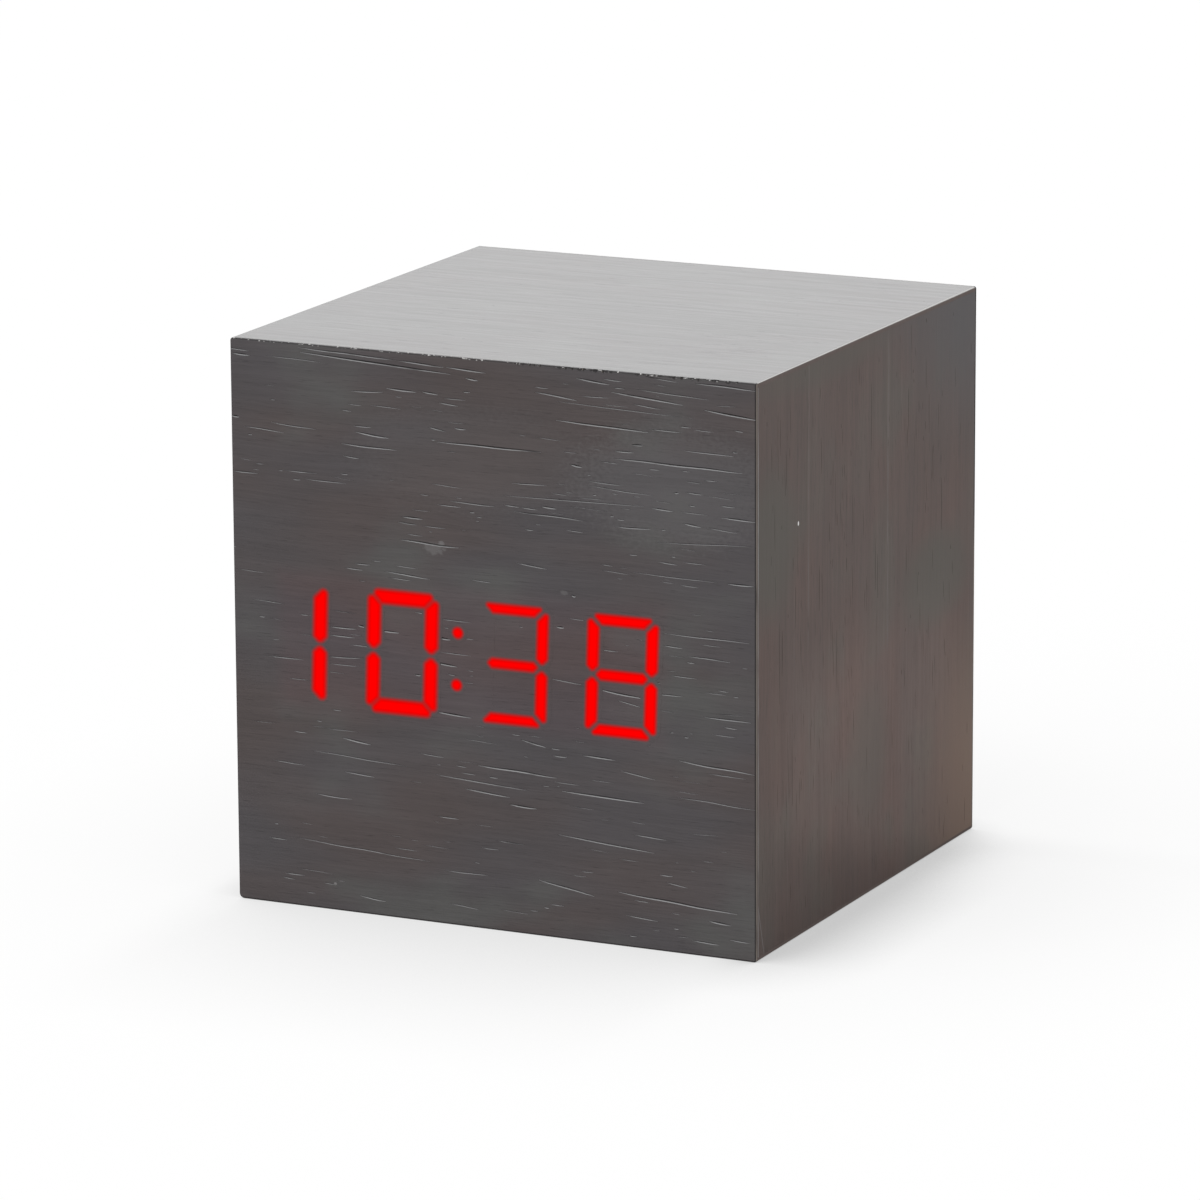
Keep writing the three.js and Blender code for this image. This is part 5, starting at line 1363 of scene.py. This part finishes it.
cell("battery_cell_lower", True)
cell("battery_cell_middle", False)
cell("battery_cell_upper", True)
for button in ("set", "up", "down"):
    button_cap(button)
for place in ("left", "right"):
    cover_screw(place)
for name, width in SOFT_WIDTHS.items():
    soften(frame["nodes"][name], width)


# Camera, light and floor


def add_camera():
    """The camera of the photograph: turned about the clock, tilted down at it and rolled a little."""
    data = bpy.data.cameras.new("photo_camera")
    data.lens = LENS
    data.sensor_width = SENSOR
    data.clip_start = CLIP_START
    data.clip_end = CLIP_END
    camera = put("photo_camera", data)
    aim = Matrix.Translation(CAMERA_PLACE)
    for degrees, axis in ((CAMERA_TURN, "Z"), (90 - CAMERA_RISE, "X"), (CAMERA_ROLL, "Z")):
        aim = aim @ Matrix.Rotation(math.radians(degrees), 4, axis)
    camera.matrix_world = aim
    bpy.context.scene.camera = camera


def add_sun():
    """The window: a soft even light from one direction."""
    data = bpy.data.lights.new("window_light", "SUN")
    data.angle = math.radians(SUN_SPREAD)
    data.energy = SUN_STRENGTH
    lamp = put("window_light", data)
    lamp.rotation_mode = "QUATERNION"
    lamp.rotation_quaternion = (-SUN_TOWARDS).to_track_quat("-Z", "Y")


def add_world():
    """White to the camera and in reflections, softer as a light."""
    world = bpy.data.worlds.new("studio")
    bpy.context.scene.world = world
    sky = Finish("studio", world)
    rays = sky.node("LightPath")
    seen = rays["Is Camera Ray"].most(rays["Is Glossy Ray"]).most(rays["Is Transmission Ray"])
    lights = []
    for strength in (SOFT_LIGHT, 1.0):
        sockets = {"Color": (1, 1, 1), "Strength": strength}
        lights.append(sky.node("Background", sockets=sockets)["Background"])
    mixed = sky.node("MixShader", sockets={0: seen, 1: lights[0], 2: lights[1]})["Shader"]
    sky.node("OutputWorld", sockets={"Surface": mixed})


def add_floor():
    """A white floor. The camera sees it evenly lit, with the clock's shadow and its contact line painted
    into its light from ambient occlusion.
    """
    finish = Finish("floor_paper")
    paper = finish.body(Base_Color=(0.9, 0.9, 0.9), Roughness=0.9)
    x, y, _ = finish.place()
    reached = []
    for reach in (CONTACT_REACH, CLOSE_REACH, WIDE_REACH):
        sockets = {"Distance": reach * MM}
        reached.append(1 - finish.node("AmbientOcclusion", {"samples": 8}, sockets)["AO"])
    contact, close, wide = reached
    past_rear = y - cube_high.y
    on_right = (x - cube_high.x).ramp(-6, 3) * past_rear.ramp(4, -12)
    towards_viewer = (x - cube_low.x).ramp(-8, 3) * past_rear.ramp(3, -8)
    spread = (towards_viewer * (1 - AWAY_SHARE) + AWAY_SHARE) * (1 - on_right * 0.5)
    away = (1 - towards_viewer) * (1 - on_right) * CONTACT_STRENGTH
    narrowing = 1 + past_rear.ramp(-34, -4) * NARROWING
    beside = (close * 2).least(1) ** narrowing * 0.5 * on_right
    # Painted shadow of the clock on the floor, strongest on its right
    shade = beside * CLOSE_STRENGTH + wide * spread * WIDE_STRENGTH + contact * away
    seen_white = finish.blend(shade, (1, 1, 1), (0, 0, 0))
    sockets = {"Color": seen_white, "Strength": FLOOR_SEEN_STRENGTH}
    light = finish.node("Emission", sockets=sockets)["Emission"]
    seen = finish.node("LightPath")["Is Camera Ray"] * FLOOR_SEEN_SHARE
    mixed = finish.node("MixShader", sockets={0: seen, 1: paper, 2: light})["Shader"]
    ring = [(side * FLOOR_HALF, end * FLOOR_HALF, 0) for side, end in ((-1, -1), (1, -1), (1, 1), (-1, 1))]
    floor = put_mesh("floor", ring, [(0, 1, 2, 3)], finish.done(mixed))


add_camera()
add_world()
add_floor()
add_sun()

bpy.context.scene.view_settings.view_transform = "Standard"
